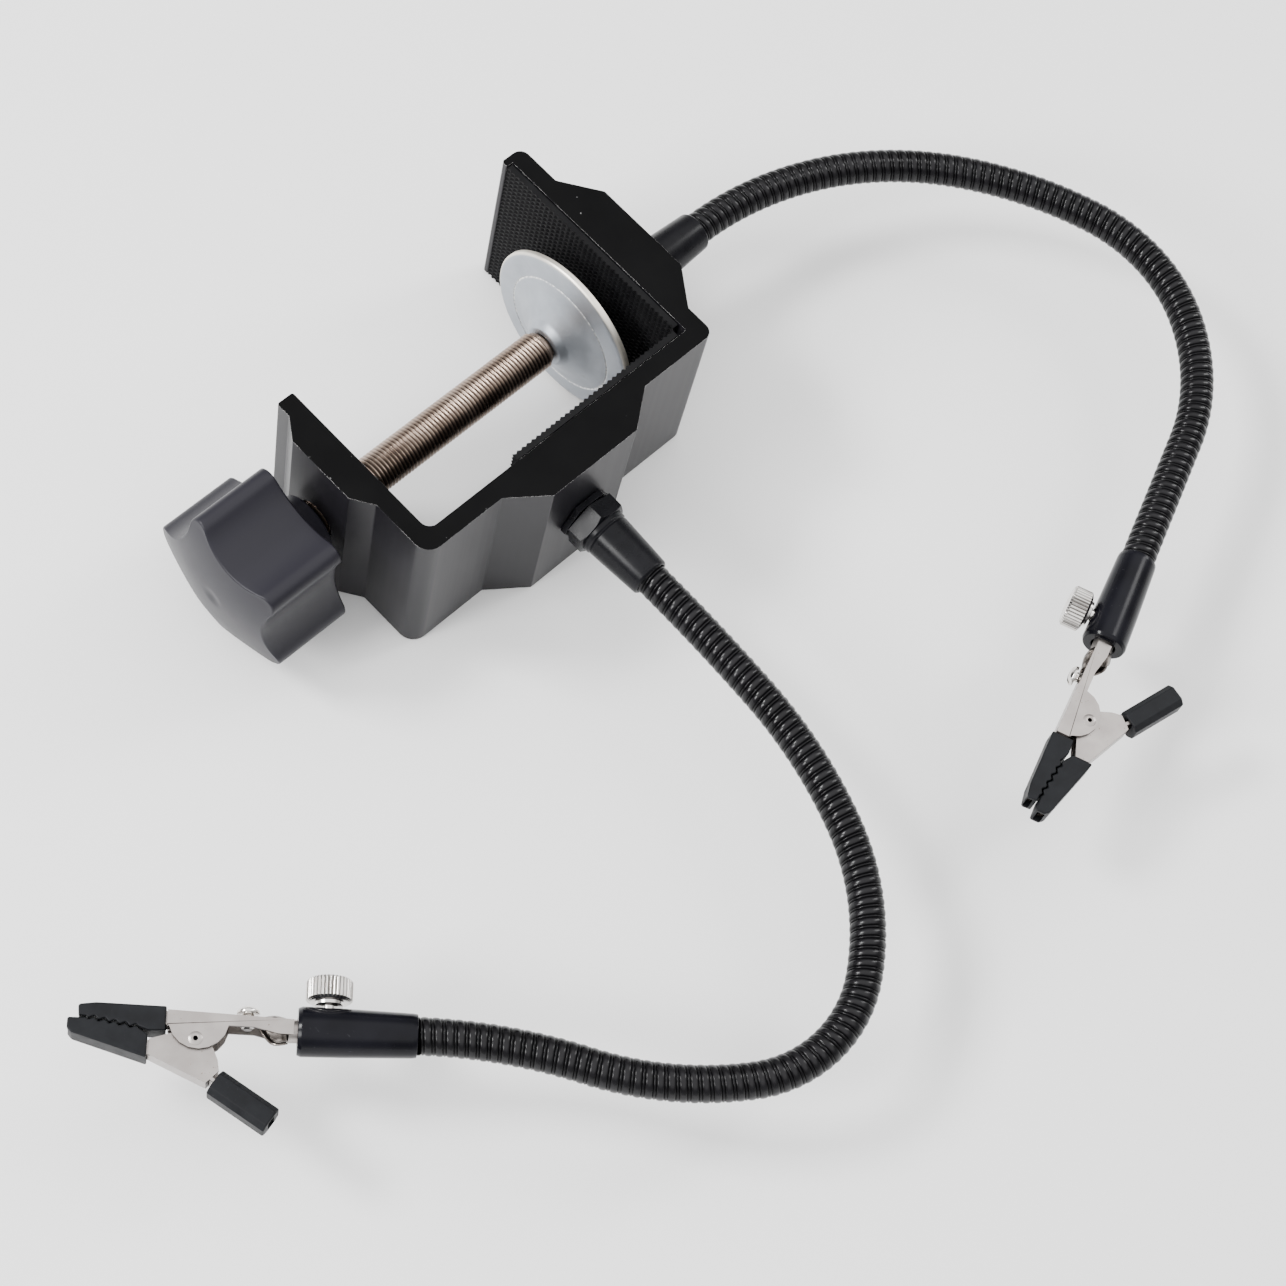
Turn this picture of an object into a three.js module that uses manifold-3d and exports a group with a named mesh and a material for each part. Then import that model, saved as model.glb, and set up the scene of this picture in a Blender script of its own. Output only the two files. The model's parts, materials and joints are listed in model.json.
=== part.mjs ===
// Bench clamp with two gooseneck arms that end in alligator clips, lying on one end of its frame.
// Millimetres, +Z up. The origin is on the frame's lower end face, at the middle of the spine's wall.
// +X runs along the spine from the screw arm to the fixed jaw, +Y from the spine to the jaw tips.
import * as THREE from "three";
import { mergeVertices } from "three/addons/utils/BufferGeometryUtils.js";
import Module from "manifold-3d";

const wasm = await Module();
wasm.setup();

// ---- driving dimensions ----
const GAP = 0.3; // clearance between touching pieces

const FRAME_WIDTH = 90; // outside of the screw arm to outside of the fixed jaw
const FRAME_HEIGHT = 47; // length of the extrusion
const WALL = 4.6;
const JAW_REACH = 65.4; // from the spine's outer face
const ARM_REACH = 49.6;
const LIP = 1.8; // inward step at the jaw's tip that retains the pad
const LIP_DEPTH = 1.8;
const BOSS_HEIGHT = 7;
const BOSS_FLAT = 26;
const BOSS_BASE = 45;
const ARM_BOSS_HEIGHT = 3.6;
const ARM_BOSS_FLAT = 18.6;
const ARM_BOSS_BASE = 29;
const AXIS_Y = 28.7; // height of the screw's axis above the middle of the spine's wall
const MID_Z = FRAME_HEIGHT / 2;

const PAD_THICKNESS = 1.8;
const SPINE_PAD_LENGTH = 51;

const SCREW_RADIUS = 4.9; // M10 fine thread
const KNOB_RADIUS = 21.4;
const KNOB_VALLEY = 15;
const KNOB_LOBES = 5;
const KNOB_LOBE_RADIUS = 3;
const KNOB_LENGTH = 20;
const KNOB_DOME = 3.6;
const KNOB_FRONT_X = -79.5;
const KNOB_ANGLE = 10; // degrees, where the screw stands at rest
const HUB_RADIUS = 8;
const HUB_LENGTH = 5.4;
const DISC_RADIUS = 22;
const DISC_BACK_X = 29.7; // back of the disc's rim
const DISC_RIM = 1.5;
const BALL_X = 26.6;
const BALL_RADIUS = 3.9;
const NECK_RADIUS = 2.9;

const HEX_FLATS = 13;
const HEX_ANGLE = -20; // degrees that the fitting's hexagon is turned about its axis
const NUT_THICKNESS = 1.8;
const STUD_RADIUS = 3.9;
const STUD_DEPTH = 8; // how far the fitting's stud goes into the frame
const HEX_LENGTH = 4.7;
const FITTING_LENGTH = 23; // from the frame's boss to the start of the bare hose
const HOSE_RADIUS = 4.2;
const SPIGOT_RADIUS = 3.6; // hose end inside a sleeve
const SPIGOT_LENGTH = 9;
const HOSE_SIDES = 12;
const HOSE_LINK = 36.5; // length of hose between two bending points
const BENDS_A = [-4, -18, -34, -68, -26, 16]; // degrees turned along each link, arm on the spine
const BENDS_B = [-24, -26, -21, -49, -38, 0]; // the same for the arm on the fixed jaw

const SLEEVE_LENGTH = 25.5;
const SLEEVE_END_RADIUS = 5.3;
const SLEEVE_HOSE_RADIUS = 4.7;
const SOCKET_RADIUS = 2.9;
const SOCKET_DEPTH = 12.5;
const THUMB_RADIUS = 5;
const THUMB_HEIGHT = 5;
const THUMB_STEM_RADIUS = 1.5;
const THUMB_FROM_END = 6.4;
const THUMB_KNURLS = 18;

const SHEET = 0.6; // thickness of the clip's sheet metal
const RIVET_X = 21;
const RIVET_Y = -3.2;
const UPPER_WIDTH = 6.4;
const LOWER_WIDTH = 4.6;
const JAW_WIDTH = 3.8; // both jaws narrow to this inside their boots
const BOOT_WIDTH = 6;
const TAIL_RADIUS = 2.5;
const EAR_RADIUS = 6.3;
const GRIP_LENGTH = 15.4;
const GRIP_HEIGHT = 5.8;
const GRIP_WIDTH = 6.2;
const GRIP_START = 0.9; // from the root of the handle
const GRIP_ANGLE = 213; // direction of the handle, from the clip's own +X
const HANDLE_X = 3.6; // root of the handle, behind and below the rivet
const HANDLE_Y = 8.2;
const TOOTH_PITCH = 2.2;
const TOOTH_HEIGHT = 0.3;

// ---- materials ----
function finish(color, roughness, metalness) {
  return new THREE.MeshStandardMaterial({ color, roughness, metalness });
}
const frameBlack = finish(0x2e2e31, 0.55, 0.3);
const rubberBlack = finish(0x17171a, 0.85, 0);
const knobPlastic = finish(0x4a4a52, 0.5, 0);
const screwNickel = finish(0x9c8a7a, 0.3, 1);
const zincPlate = finish(0xc3c8cc, 0.35, 0.9);
const fittingBlack = finish(0x232327, 0.3, 0.7);
const hoseBlack = finish(0x2a2a2e, 0.35, 0.7);
const sleeveBlack = finish(0x1c1c22, 0.25, 0.3);
const brightNickel = finish(0xcfcac6, 0.25, 1);
const clipSteel = finish(0xc6c0bb, 0.4, 1);
const bootVinyl = finish(0x2b2d32, 0.6, 0);

// ---- solids: closed geometry in, closed geometry out ----
function solid(geometry) {
  const bare = geometry.clone();
  bare.deleteAttribute("normal");
  bare.deleteAttribute("uv");
  const merged = mergeVertices(bare, 1e-4);
  return new wasm.Manifold(
    new wasm.Mesh({
      numProp: 3,
      vertProperties: new Float32Array(merged.attributes.position.array),
      triVerts: new Uint32Array(merged.index.array),
    }),
  );
}

function geometryOf(manifold) {
  const mesh = manifold.getMesh();
  const geometry = new THREE.BufferGeometry();
  geometry.setAttribute("position", new THREE.BufferAttribute(mesh.vertProperties, 3));
  geometry.setIndex(new THREE.BufferAttribute(mesh.triVerts, 1));
  const faceted = geometry.toNonIndexed();
  faceted.computeVertexNormals();
  return faceted;
}

function joined(...parts) {
  return geometryOf(parts.map(solid).reduce((sum, next) => sum.add(next)));
}

function cut(body, ...tools) {
  return geometryOf(tools.map(solid).reduce((left, tool) => left.subtract(tool), solid(body)));
}

function common(a, b) {
  return geometryOf(solid(a).intersect(solid(b)));
}

// ---- basic shapes ----
function moved(geometry, x, y, z) {
  return geometry.clone().translate(x, y, z);
}

function box(x0, x1, y0, y1, z0, z1) {
  const geometry = new THREE.BoxGeometry(x1 - x0, y1 - y0, z1 - z0);
  return geometry.translate((x0 + x1) / 2, (y0 + y1) / 2, (z0 + z1) / 2);
}

// A cylinder along X, Y or Z from one coordinate to the other, centred on the other two axes.
function rod(axis, from, to, radius, sides = 20) {
  const geometry = new THREE.CylinderGeometry(radius, radius, to - from, sides);
  geometry.translate(0, (from + to) / 2, 0);
  if (axis === "x") geometry.rotateZ(-Math.PI / 2);
  if (axis === "z") geometry.rotateX(Math.PI / 2);
  return geometry;
}

// A solid of revolution about X. The profile is a list of [x, radius], from the axis back to it,
// or a closed ring where the last point repeats the first.
function turned(profile, segments = 24) {
  const points = profile.map(([x, radius]) => new THREE.Vector2(Math.max(radius, 0), x));
  return new THREE.LatheGeometry(points, segments).rotateZ(-Math.PI / 2);
}

// Points of an arc as [x, radius] pairs for a turned profile; angles in degrees from +X.
function arc(x, y, radius, from, to, steps) {
  const points = [];
  for (let i = 0; i <= steps; i += 1) {
    const angle = THREE.MathUtils.degToRad(from + ((to - from) * i) / steps);
    points.push([x + radius * Math.cos(angle), y + radius * Math.sin(angle)]);
  }
  return points;
}

// An outline of [x, y, corner radius] points with rounded corners, counter-clockwise.
function roundedShape(corners) {
  const shape = new THREE.Shape();
  const count = corners.length;
  corners.forEach(([x, y, radius = 0], i) => {
    const here = new THREE.Vector2(x, y);
    const back = new THREE.Vector2(...corners[(i + count - 1) % count].slice(0, 2)).sub(here).normalize();
    const ahead = new THREE.Vector2(...corners[(i + 1) % count].slice(0, 2)).sub(here).normalize();
    const draw = i === 0 ? "moveTo" : "lineTo";
    if (radius === 0) {
      shape[draw](x, y);
      return;
    }
    const half = Math.acos(THREE.MathUtils.clamp(back.dot(ahead), -1, 1)) / 2;
    const reach = radius / Math.tan(half);
    const start = here.clone().addScaledVector(back, reach);
    const end = here.clone().addScaledVector(ahead, reach);
    const inward = back.clone().add(ahead).normalize();
    const centre = here.clone().addScaledVector(inward, radius / Math.sin(half));
    const clockwise = back.cross(ahead) > 0;
    shape[draw](start.x, start.y);
    const a0 = Math.atan2(start.y - centre.y, start.x - centre.x);
    const a1 = Math.atan2(end.y - centre.y, end.x - centre.x);
    shape.absarc(centre.x, centre.y, radius, a0, a1, clockwise);
  });
  shape.closePath();
  return shape;
}

function slab(shape, z0, z1, curveSegments = 3) {
  const options = { depth: z1 - z0, bevelEnabled: false, curveSegments };
  return new THREE.ExtrudeGeometry(shape, options).translate(0, 0, z0);
}

// A prism with the outline in the XY plane, centred on Z.
function plate(corners, width) {
  return slab(roundedShape(corners), -width / 2, width / 2);
}

function piece(parent, name, geometry, material) {
  const mesh = new THREE.Mesh(geometry, material);
  mesh.name = name;
  parent.add(mesh);
  return mesh;
}

// ---- C-shaped frame ----
function frameShape() {
  const side = FRAME_WIDTH / 2;
  const outer = -WALL / 2;
  const inner = WALL / 2;
  const jawTip = outer + JAW_REACH;
  const armTip = outer + ARM_REACH;
  return roundedShape([
    [-side, outer, 4],
    [-BOSS_BASE / 2, outer, 1],
    [-BOSS_FLAT / 2, outer - BOSS_HEIGHT, 0.6],
    [BOSS_FLAT / 2, outer - BOSS_HEIGHT, 0.6],
    [BOSS_BASE / 2, outer, 1],
    [side, outer, 2.5],
    [side, AXIS_Y - BOSS_BASE / 2, 1],
    [side + BOSS_HEIGHT, AXIS_Y - BOSS_FLAT / 2, 0.6],
    [side + BOSS_HEIGHT, AXIS_Y + BOSS_FLAT / 2, 0.6],
    [side, AXIS_Y + BOSS_BASE / 2, 1],
    [side, jawTip, 2.5],
    [side - WALL - LIP, jawTip, 0.8],
    [side - WALL - LIP, jawTip - LIP_DEPTH, 0.4],
    [side - WALL, jawTip - LIP_DEPTH],
    [side - WALL, inner, 0.5],
    [-side + WALL, inner, 2.5],
    [-side + WALL, armTip, 0.6],
    [-side, armTip, 0.6],
    [-side, AXIS_Y + ARM_BOSS_BASE / 2, 1],
    [-side - ARM_BOSS_HEIGHT, AXIS_Y + ARM_BOSS_FLAT / 2, 0.6],
    [-side - ARM_BOSS_HEIGHT, AXIS_Y - ARM_BOSS_FLAT / 2, 0.6],
    [-side, AXIS_Y - ARM_BOSS_BASE / 2, 1],
  ]);
}

function frameGeometry() {
  const side = FRAME_WIDTH / 2;
  const studHole = STUD_RADIUS + GAP;
  const holeDepth = STUD_DEPTH + GAP;
  const spineFace = -WALL / 2 - BOSS_HEIGHT;
  const jawFace = side + BOSS_HEIGHT;
  const screwHole = rod("x", -side - 6, -side + 8, SCREW_RADIUS + GAP);
  const spineHole = rod("y", spineFace - 1, spineFace + holeDepth, studHole);
  const jawHole = rod("x", jawFace - holeDepth, jawFace + 1, studHole);
  return cut(
    slab(frameShape(), 0, FRAME_HEIGHT),
    moved(screwHole, 0, AXIS_Y, MID_Z),
    moved(spineHole, 0, 0, MID_Z),
    moved(jawHole, 0, AXIS_Y, MID_Z),
  );
}

// ---- rubber pads on the two faces that meet the bench ----
function addPads(parent) {
  const jawFace = FRAME_WIDTH / 2 - WALL - GAP;
  const spineFace = WALL / 2 + GAP;
  const jawPadTop = -WALL / 2 + JAW_REACH - LIP_DEPTH - GAP;
  const spinePadEnd = jawFace - PAD_THICKNESS - GAP;
  const jawPadStart = spineFace + PAD_THICKNESS + GAP; // clear of the spine pad, so a board lies flat on it
  const low = GAP;
  const high = FRAME_HEIGHT - GAP;
  const jawPad = box(jawFace - PAD_THICKNESS, jawFace, jawPadStart, jawPadTop, low, high);
  const spinePad = box(
    spinePadEnd - SPINE_PAD_LENGTH,
    spinePadEnd,
    spineFace,
    spineFace + PAD_THICKNESS,
    low,
    high,
  );
  piece(parent, "jaw_pad", jawPad, rubberBlack);
  piece(parent, "spine_pad", spinePad, rubberBlack);
}

// ---- pressure disc, screw and knob, all about the screw's axis ----
function discGeometry() {
  const socket = BALL_RADIUS + GAP;
  const mouth = NECK_RADIUS + GAP;
  const front = DISC_BACK_X + DISC_RIM;
  const collar = BALL_X - 3.2;
  const mouthAngle = 180 - THREE.MathUtils.radToDeg(Math.asin(mouth / socket));
  const ventAngle = 16;
  return turned(
    [
      [collar, mouth],
      [collar, 6.2],
      [DISC_BACK_X - 0.9, 15.2],
      [DISC_BACK_X, 16],
      [DISC_BACK_X, DISC_RADIUS - 0.4],
      [DISC_BACK_X + 0.4, DISC_RADIUS],
      [front, DISC_RADIUS],
      [front, 16.6],
      [front - 1.6, 14.6],
      [front - 1.6, 7.5],
      [front, 6],
      [front, socket * Math.sin(THREE.MathUtils.degToRad(ventAngle))],
      ...arc(BALL_X, 0, socket, ventAngle, mouthAngle, 5),
      [collar, mouth],
    ],
    24,
  );
}

function screwGeometry() {
  const neckStart = BALL_X - 3.6;
  const neckAngle = 180 - THREE.MathUtils.radToDeg(Math.asin(NECK_RADIUS / BALL_RADIUS));
  return turned(
    [
      [KNOB_FRONT_X + 8.5, 0],
      [KNOB_FRONT_X + 8.5, SCREW_RADIUS - 0.8],
      [KNOB_FRONT_X + 9.3, SCREW_RADIUS],
      [neckStart - 0.8, SCREW_RADIUS],
      [neckStart, SCREW_RADIUS - 0.8],
      [neckStart, NECK_RADIUS],
      ...arc(BALL_X, 0, BALL_RADIUS, neckAngle, 0, 5),
    ],
    20,
  );
}

// Outline of the knob: round lobes joined by hollow arcs that touch them smoothly.
function knobShape() {
  const lobeCentre = KNOB_RADIUS - KNOB_LOBE_RADIUS;
  const half = Math.PI / KNOB_LOBES;
  const along = lobeCentre * Math.cos(half);
  // Radius of the hollow that leaves the valley at KNOB_VALLEY and is tangent to both lobes.
  const hollow =
    (KNOB_VALLEY ** 2 + lobeCentre ** 2 - 2 * KNOB_VALLEY * along - KNOB_LOBE_RADIUS ** 2) /
    (2 * (KNOB_LOBE_RADIUS - KNOB_VALLEY + along));
  const far = KNOB_VALLEY + hollow;
  const swing = Math.atan2(lobeCentre * Math.sin(half), far - along);
  const shape = new THREE.Shape();
  for (let i = 0; i < KNOB_LOBES; i += 1) {
    const lobe = 2 * half * i;
    const valley = lobe + half;
    const turn = half + swing;
    shape.absarc(
      lobeCentre * Math.cos(lobe),
      lobeCentre * Math.sin(lobe),
      KNOB_LOBE_RADIUS,
      lobe - turn,
      lobe + turn,
      false,
    );
    shape.absarc(
      far * Math.cos(valley),
      far * Math.sin(valley),
      hollow,
      valley + Math.PI + swing,
      valley + Math.PI - swing,
      true,
    );
  }
  return shape;
}

function knobGeometry() {
  const rear = KNOB_FRONT_X + KNOB_DOME + KNOB_LENGTH;
  const rim = KNOB_FRONT_X + KNOB_DOME;
  const ball = (KNOB_RADIUS ** 2 + KNOB_DOME ** 2) / (2 * KNOB_DOME);
  const spread = THREE.MathUtils.radToDeg(Math.asin(KNOB_RADIUS / ball));
  const lobes = slab(knobShape(), 0, KNOB_LENGTH + KNOB_DOME, 6)
    .rotateY(Math.PI / 2)
    .translate(KNOB_FRONT_X, 0, 0);
  const envelope = turned(
    [
      ...arc(KNOB_FRONT_X + ball, 0, ball, 180, 180 - spread, 4),
      [rim + 0.6, KNOB_RADIUS + 0.5],
      [rear - 1, KNOB_RADIUS + 0.5],
      [rear, KNOB_RADIUS - 0.8],
      [rear, 0],
    ],
    30,
  );
  const hub = rod("x", rear - 2, rear + HUB_LENGTH, HUB_RADIUS, 20);
  const bore = rod("x", KNOB_FRONT_X + 8, rear + HUB_LENGTH + 1, SCREW_RADIUS + GAP, 24);
  return cut(joined(common(lobes, envelope), hub), bore);
}

function addScrewGroup(parent) {
  const axis = new THREE.Group();
  axis.position.set(0, AXIS_Y, MID_Z);
  parent.add(axis);
  piece(axis, "pressure_disc", discGeometry(), zincPlate);
  piece(axis, "clamp_screw", screwGeometry(), screwNickel);
  const knob = piece(axis, "knob", knobGeometry(), knobPlastic);
  knob.rotation.x = THREE.MathUtils.degToRad(KNOB_ANGLE);
}

// ---- base of an arm, along local +X from the frame's boss ----
function hexPrism(x0, x1, flats) {
  const corner = flats / Math.sqrt(3);
  const shape = new THREE.Shape();
  for (let i = 0; i < 6; i += 1) {
    const angle = (Math.PI / 3) * i;
    shape[i === 0 ? "moveTo" : "lineTo"](corner * Math.sin(angle), corner * Math.cos(angle));
  }
  return slab(shape, x0, x1).rotateY(Math.PI / 2);
}

function nutGeometry() {
  const hole = rod("x", -1, NUT_THICKNESS + 1, STUD_RADIUS + GAP, 16);
  return cut(hexPrism(GAP, NUT_THICKNESS, HEX_FLATS), hole);
}

function fittingGeometry() {
  const start = NUT_THICKNESS + GAP;
  const hexEnd = start + HEX_LENGTH;
  const sleeve = turned(
    [
      [hexEnd - 1, 0],
      [hexEnd - 1, 6.2],
      [hexEnd + 1, 6.2],
      [hexEnd + 2, 5.6],
      [FITTING_LENGTH - 5, 5.2],
      [FITTING_LENGTH - 1, 4.9],
      [FITTING_LENGTH, 4.5],
      [FITTING_LENGTH, 0],
    ],
    20,
  );
  const stud = rod("x", -STUD_DEPTH, start + 1, STUD_RADIUS, 16);
  const boreStart = FITTING_LENGTH - SPIGOT_LENGTH - GAP;
  const bore = rod("x", boreStart, FITTING_LENGTH + 1, SPIGOT_RADIUS + GAP, 16);
  const collar = hexPrism(start, hexEnd, HEX_FLATS).rotateX(THREE.MathUtils.degToRad(HEX_ANGLE));
  return cut(joined(collar, sleeve, stud), bore);
}

// ---- hose: one bent length between two bending points, starting along local +X ----
class Bend extends THREE.Curve {
  constructor(length, degrees) {
    super();
    this.length = length;
    this.turn = THREE.MathUtils.degToRad(degrees);
  }
  getPoint(t, target = new THREE.Vector3()) {
    const angle = this.turn * t;
    if (Math.abs(this.turn) < 1e-6) return target.set(this.length * t, 0, 0);
    const radius = this.length / this.turn;
    return target.set(radius * Math.sin(angle), radius * (1 - Math.cos(angle)), 0);
  }
}

function circle(radius, sides) {
  const points = [];
  for (let i = 0; i < sides; i += 1) {
    const angle = (2 * Math.PI * i) / sides;
    points.push(new THREE.Vector2(radius * Math.cos(angle), radius * Math.sin(angle)));
  }
  return new THREE.Shape(points);
}

// A ball centred on a bending point, its rings square to the hose there.
function hoseBall(radius, turn) {
  return new THREE.SphereGeometry(radius, HOSE_SIDES, 8).rotateZ(turn - Math.PI / 2);
}

// Each length starts hollow and ends round, so that the next one can turn on it like a ball joint.
function hoseGeometry(path, isFirst, isLast) {
  const tube = new THREE.ExtrudeGeometry(circle(HOSE_RADIUS, HOSE_SIDES), {
    steps: 6,
    bevelEnabled: false,
    extrudePath: path,
  });
  const end = path.getPoint(1);
  let body = tube;
  if (isFirst) {
    body = joined(body, rod("x", -SPIGOT_LENGTH, 1, SPIGOT_RADIUS, HOSE_SIDES));
  } else {
    body = cut(body, hoseBall(HOSE_RADIUS + GAP, 0));
  }
  if (isLast) {
    const spigot = rod("x", -1, SPIGOT_LENGTH, SPIGOT_RADIUS, HOSE_SIDES);
    return joined(body, spigot.rotateZ(path.turn).translate(end.x, end.y, 0));
  }
  const ball = hoseBall(HOSE_RADIUS - 0.02, path.turn);
  return joined(body, moved(ball, end.x, end.y, 0));
}

// ---- end sleeve with its thumbscrew, along local +X from the end of the hose ----
function sleeveGeometry() {
  const body = turned([
    [GAP, 0],
    [GAP, SLEEVE_HOSE_RADIUS - 0.3],
    [GAP + 0.4, SLEEVE_HOSE_RADIUS],
    [SLEEVE_LENGTH - 9, SLEEVE_END_RADIUS - 0.1],
    [SLEEVE_LENGTH - 0.5, SLEEVE_END_RADIUS],
    [SLEEVE_LENGTH, SLEEVE_END_RADIUS - 0.5],
    [SLEEVE_LENGTH, 0],
  ]);
  const hoseBore = rod("x", -1, SPIGOT_LENGTH + GAP, SPIGOT_RADIUS + GAP);
  const clipBore = rod("x", SLEEVE_LENGTH - SOCKET_DEPTH, SLEEVE_LENGTH + 1, SOCKET_RADIUS);
  const stemBore = rod("y", -SLEEVE_END_RADIUS - 1, 0, THUMB_STEM_RADIUS + GAP, 12);
  return cut(body, hoseBore, clipBore, moved(stemBore, SLEEVE_LENGTH - THUMB_FROM_END, 0, 0));
}

// Knurled head on a short stem, along local +Y from the tip of the stem.
function thumbscrewGeometry() {
  const headStart = SLEEVE_END_RADIUS + 1.2 - TAIL_RADIUS - GAP;
  const points = [];
  for (let i = 0; i < 2 * THUMB_KNURLS; i += 1) {
    const angle = (Math.PI * i) / THUMB_KNURLS;
    const radius = i % 2 === 0 ? THUMB_RADIUS : THUMB_RADIUS - 0.3;
    points.push(new THREE.Vector2(radius * Math.cos(angle), radius * Math.sin(angle)));
  }
  const knurl = slab(new THREE.Shape(points), headStart, headStart + THUMB_HEIGHT).rotateX(-Math.PI / 2);
  const envelope = turned(
    [
      [headStart, 0],
      [headStart, THUMB_RADIUS - 0.8],
      [headStart + 0.6, THUMB_RADIUS],
      [headStart + THUMB_HEIGHT - 0.6, THUMB_RADIUS],
      [headStart + THUMB_HEIGHT, THUMB_RADIUS - 0.6],
      [headStart + THUMB_HEIGHT, 0],
    ],
    18,
  ).rotateZ(Math.PI / 2);
  return joined(common(knurl, envelope), rod("y", 0, headStart + 1, THUMB_STEM_RADIUS, 12));
}

// ---- alligator clip: local origin on the sleeve's axis at its end face, +X to the tips ----
const WEB_FRONT = [RIVET_X + 6, RIVET_Y + 6];
const WEB_REAR = [0.8, 1.7];

function upperJawGeometry() {
  const [frontX, frontY] = WEB_FRONT;
  const [rearX, rearY] = WEB_REAR;
  const ear = [];
  for (let angle = 190; angle <= 346; angle += 19.5) {
    const turn = THREE.MathUtils.degToRad(angle);
    ear.push([RIVET_X - 0.5 + EAR_RADIUS * Math.cos(turn), RIVET_Y + 4.1 + EAR_RADIUS * Math.sin(turn)]);
  }
  const outline = [
    [rearX, rearY],
    [rearX, -1.6],
    [4, -1.5],
    [9, -0.3],
    ...ear,
    [frontX, RIVET_Y + 2.8],
    [frontX, frontY],
  ];
  const shell = plate(outline, UPPER_WIDTH);
  const drop = SHEET;
  const inside = plate(
    [
      [-2, -9],
      [frontX + 2, -9],
      [frontX + 2, frontY - drop],
      [-2, rearY - drop - 0.1],
    ],
    UPPER_WIDTH - 2 * SHEET,
  );
  const nose = plate(
    [
      [frontX - 1.2, frontY - 3],
      [frontX + 6, RIVET_Y + 3.5],
      [frontX + 17, RIVET_Y + 5.2],
      [frontX + 17, RIVET_Y + 6],
      [frontX + 14.4, RIVET_Y + 6.3],
      [frontX - 1.2, frontY],
    ],
    JAW_WIDTH,
  );
  const noseInside = plate(
    [
      [frontX - 0.6, RIVET_Y],
      [frontX + 18, RIVET_Y],
      [frontX + 18, RIVET_Y + 5.4],
      [frontX + 14.4, RIVET_Y + 5.7],
      [frontX - 0.6, frontY - SHEET],
    ],
    JAW_WIDTH - 2 * SHEET,
  );
  const shoulder = plate(
    [
      [frontX - 1.2, frontY - 3],
      [frontX, frontY - 3],
      [frontX, frontY],
      [frontX - 1.2, frontY],
    ],
    UPPER_WIDTH,
  );
  const barrel = rod("x", -SOCKET_DEPTH + 1, 2.2, TAIL_RADIUS, 16);
  const barrelBore = rod("x", -SOCKET_DEPTH, 3, TAIL_RADIUS - SHEET, 16);
  const pinHole = rod("z", -UPPER_WIDTH, UPPER_WIDTH, 1.3, 12);
  const screwHole = rod("y", 0, 9, 1.5, 12);
  return cut(
    joined(cut(shell, inside), cut(joined(nose, shoulder), noseInside), barrel),
    barrelBore,
    moved(pinHole, RIVET_X, RIVET_Y, 0),
    moved(screwHole, RIVET_X - 10.6, 0, 0),
  );
}

function lowerJawGeometry() {
  const x = RIVET_X;
  const y = RIVET_Y;
  const shell = plate(
    [
      [x - 2.6, y - 9.2],
      [x + 9.6, y - 3.5],
      [x + 9.6, y - 0.2],
      [x + 4.5, y + 1.4],
      [x + 1, y + 2.2],
      [x - 2, y + 1.7],
      [x - 3.6, y - 1.4],
      [x - 4.8, y - 4.2],
      [x - 5.2, y - 6.6],
    ],
    LOWER_WIDTH,
  );
  const inside = plate(
    [
      [x - 6, y - 10.1],
      [x + 11, y - 2.2],
      [x + 11, y + 6],
      [x - 6, y + 6],
    ],
    LOWER_WIDTH - 2 * SHEET,
  );
  const nose = plate(
    [
      [x + 8.6, y - 3.9],
      [x + 25.2, y + 1.35],
      [x + 25.4, y + 2.6],
      [x + 9.6, y - 0.4],
      [x + 8.6, y - 1.2],
    ],
    JAW_WIDTH,
  );
  const noseInside = plate(
    [
      [x + 7, y - 3.8],
      [x + 27, y + 2.55],
      [x + 27, y + 7],
      [x + 7, y + 7],
    ],
    JAW_WIDTH - 2 * SHEET,
  );
  const handle = box(-1.5, GRIP_LENGTH - 1.4, -0.4, 0.4, -LOWER_WIDTH / 2, LOWER_WIDTH / 2)
    .rotateZ(THREE.MathUtils.degToRad(GRIP_ANGLE))
    .translate(x - HANDLE_X, y - HANDLE_Y, 0);
  const pinHole = rod("z", -LOWER_WIDTH, LOWER_WIDTH, 1.3, 12);
  const body = joined(cut(shell, inside), cut(nose, noseInside), handle);
  return cut(body, moved(pinHole, x, y, 0));
}

// A zigzag line of teeth from one point to the other.
function toothLine([x0, y0], [x1, y1]) {
  const length = Math.hypot(x1 - x0, y1 - y0);
  const steps = 2 * Math.round(length / TOOTH_PITCH);
  const points = [];
  for (let i = 0; i <= steps; i += 1) {
    const t = i / steps;
    const wave = i % 2 === 0 ? TOOTH_HEIGHT : -TOOTH_HEIGHT;
    points.push([x0 + (x1 - x0) * t, y0 + (y1 - y0) * t + wave]);
  }
  return points;
}

function upperBootGeometry() {
  const x = RIVET_X;
  const y = RIVET_Y;
  const outer = plate(
    [
      [x + 6.3, y + 1.6],
      [x + 9.8, y + 1.5],
      ...toothLine([x + 11.9, y + 2.3], [x + 22.7, y + 4.15]),
      [x + 24.3, y + 4.2],
      [x + 24.5, y + 6.6, 0.5],
      [x + 20.8, y + 7.1, 0.8],
      [x + 6.3, y + 6.8],
    ],
    BOOT_WIDTH,
  );
  const pocket = plate(
    [
      [x + 5, y + 2.6],
      [x + 12, y + 3.1],
      [x + 26, y + 5.3],
      [x + 26, y + 6.3],
      [x + 20.6, y + 6.65],
      [x + 5, y + 6.35],
    ],
    JAW_WIDTH + 2 * GAP,
  );
  return cut(outer, pocket);
}

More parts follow.
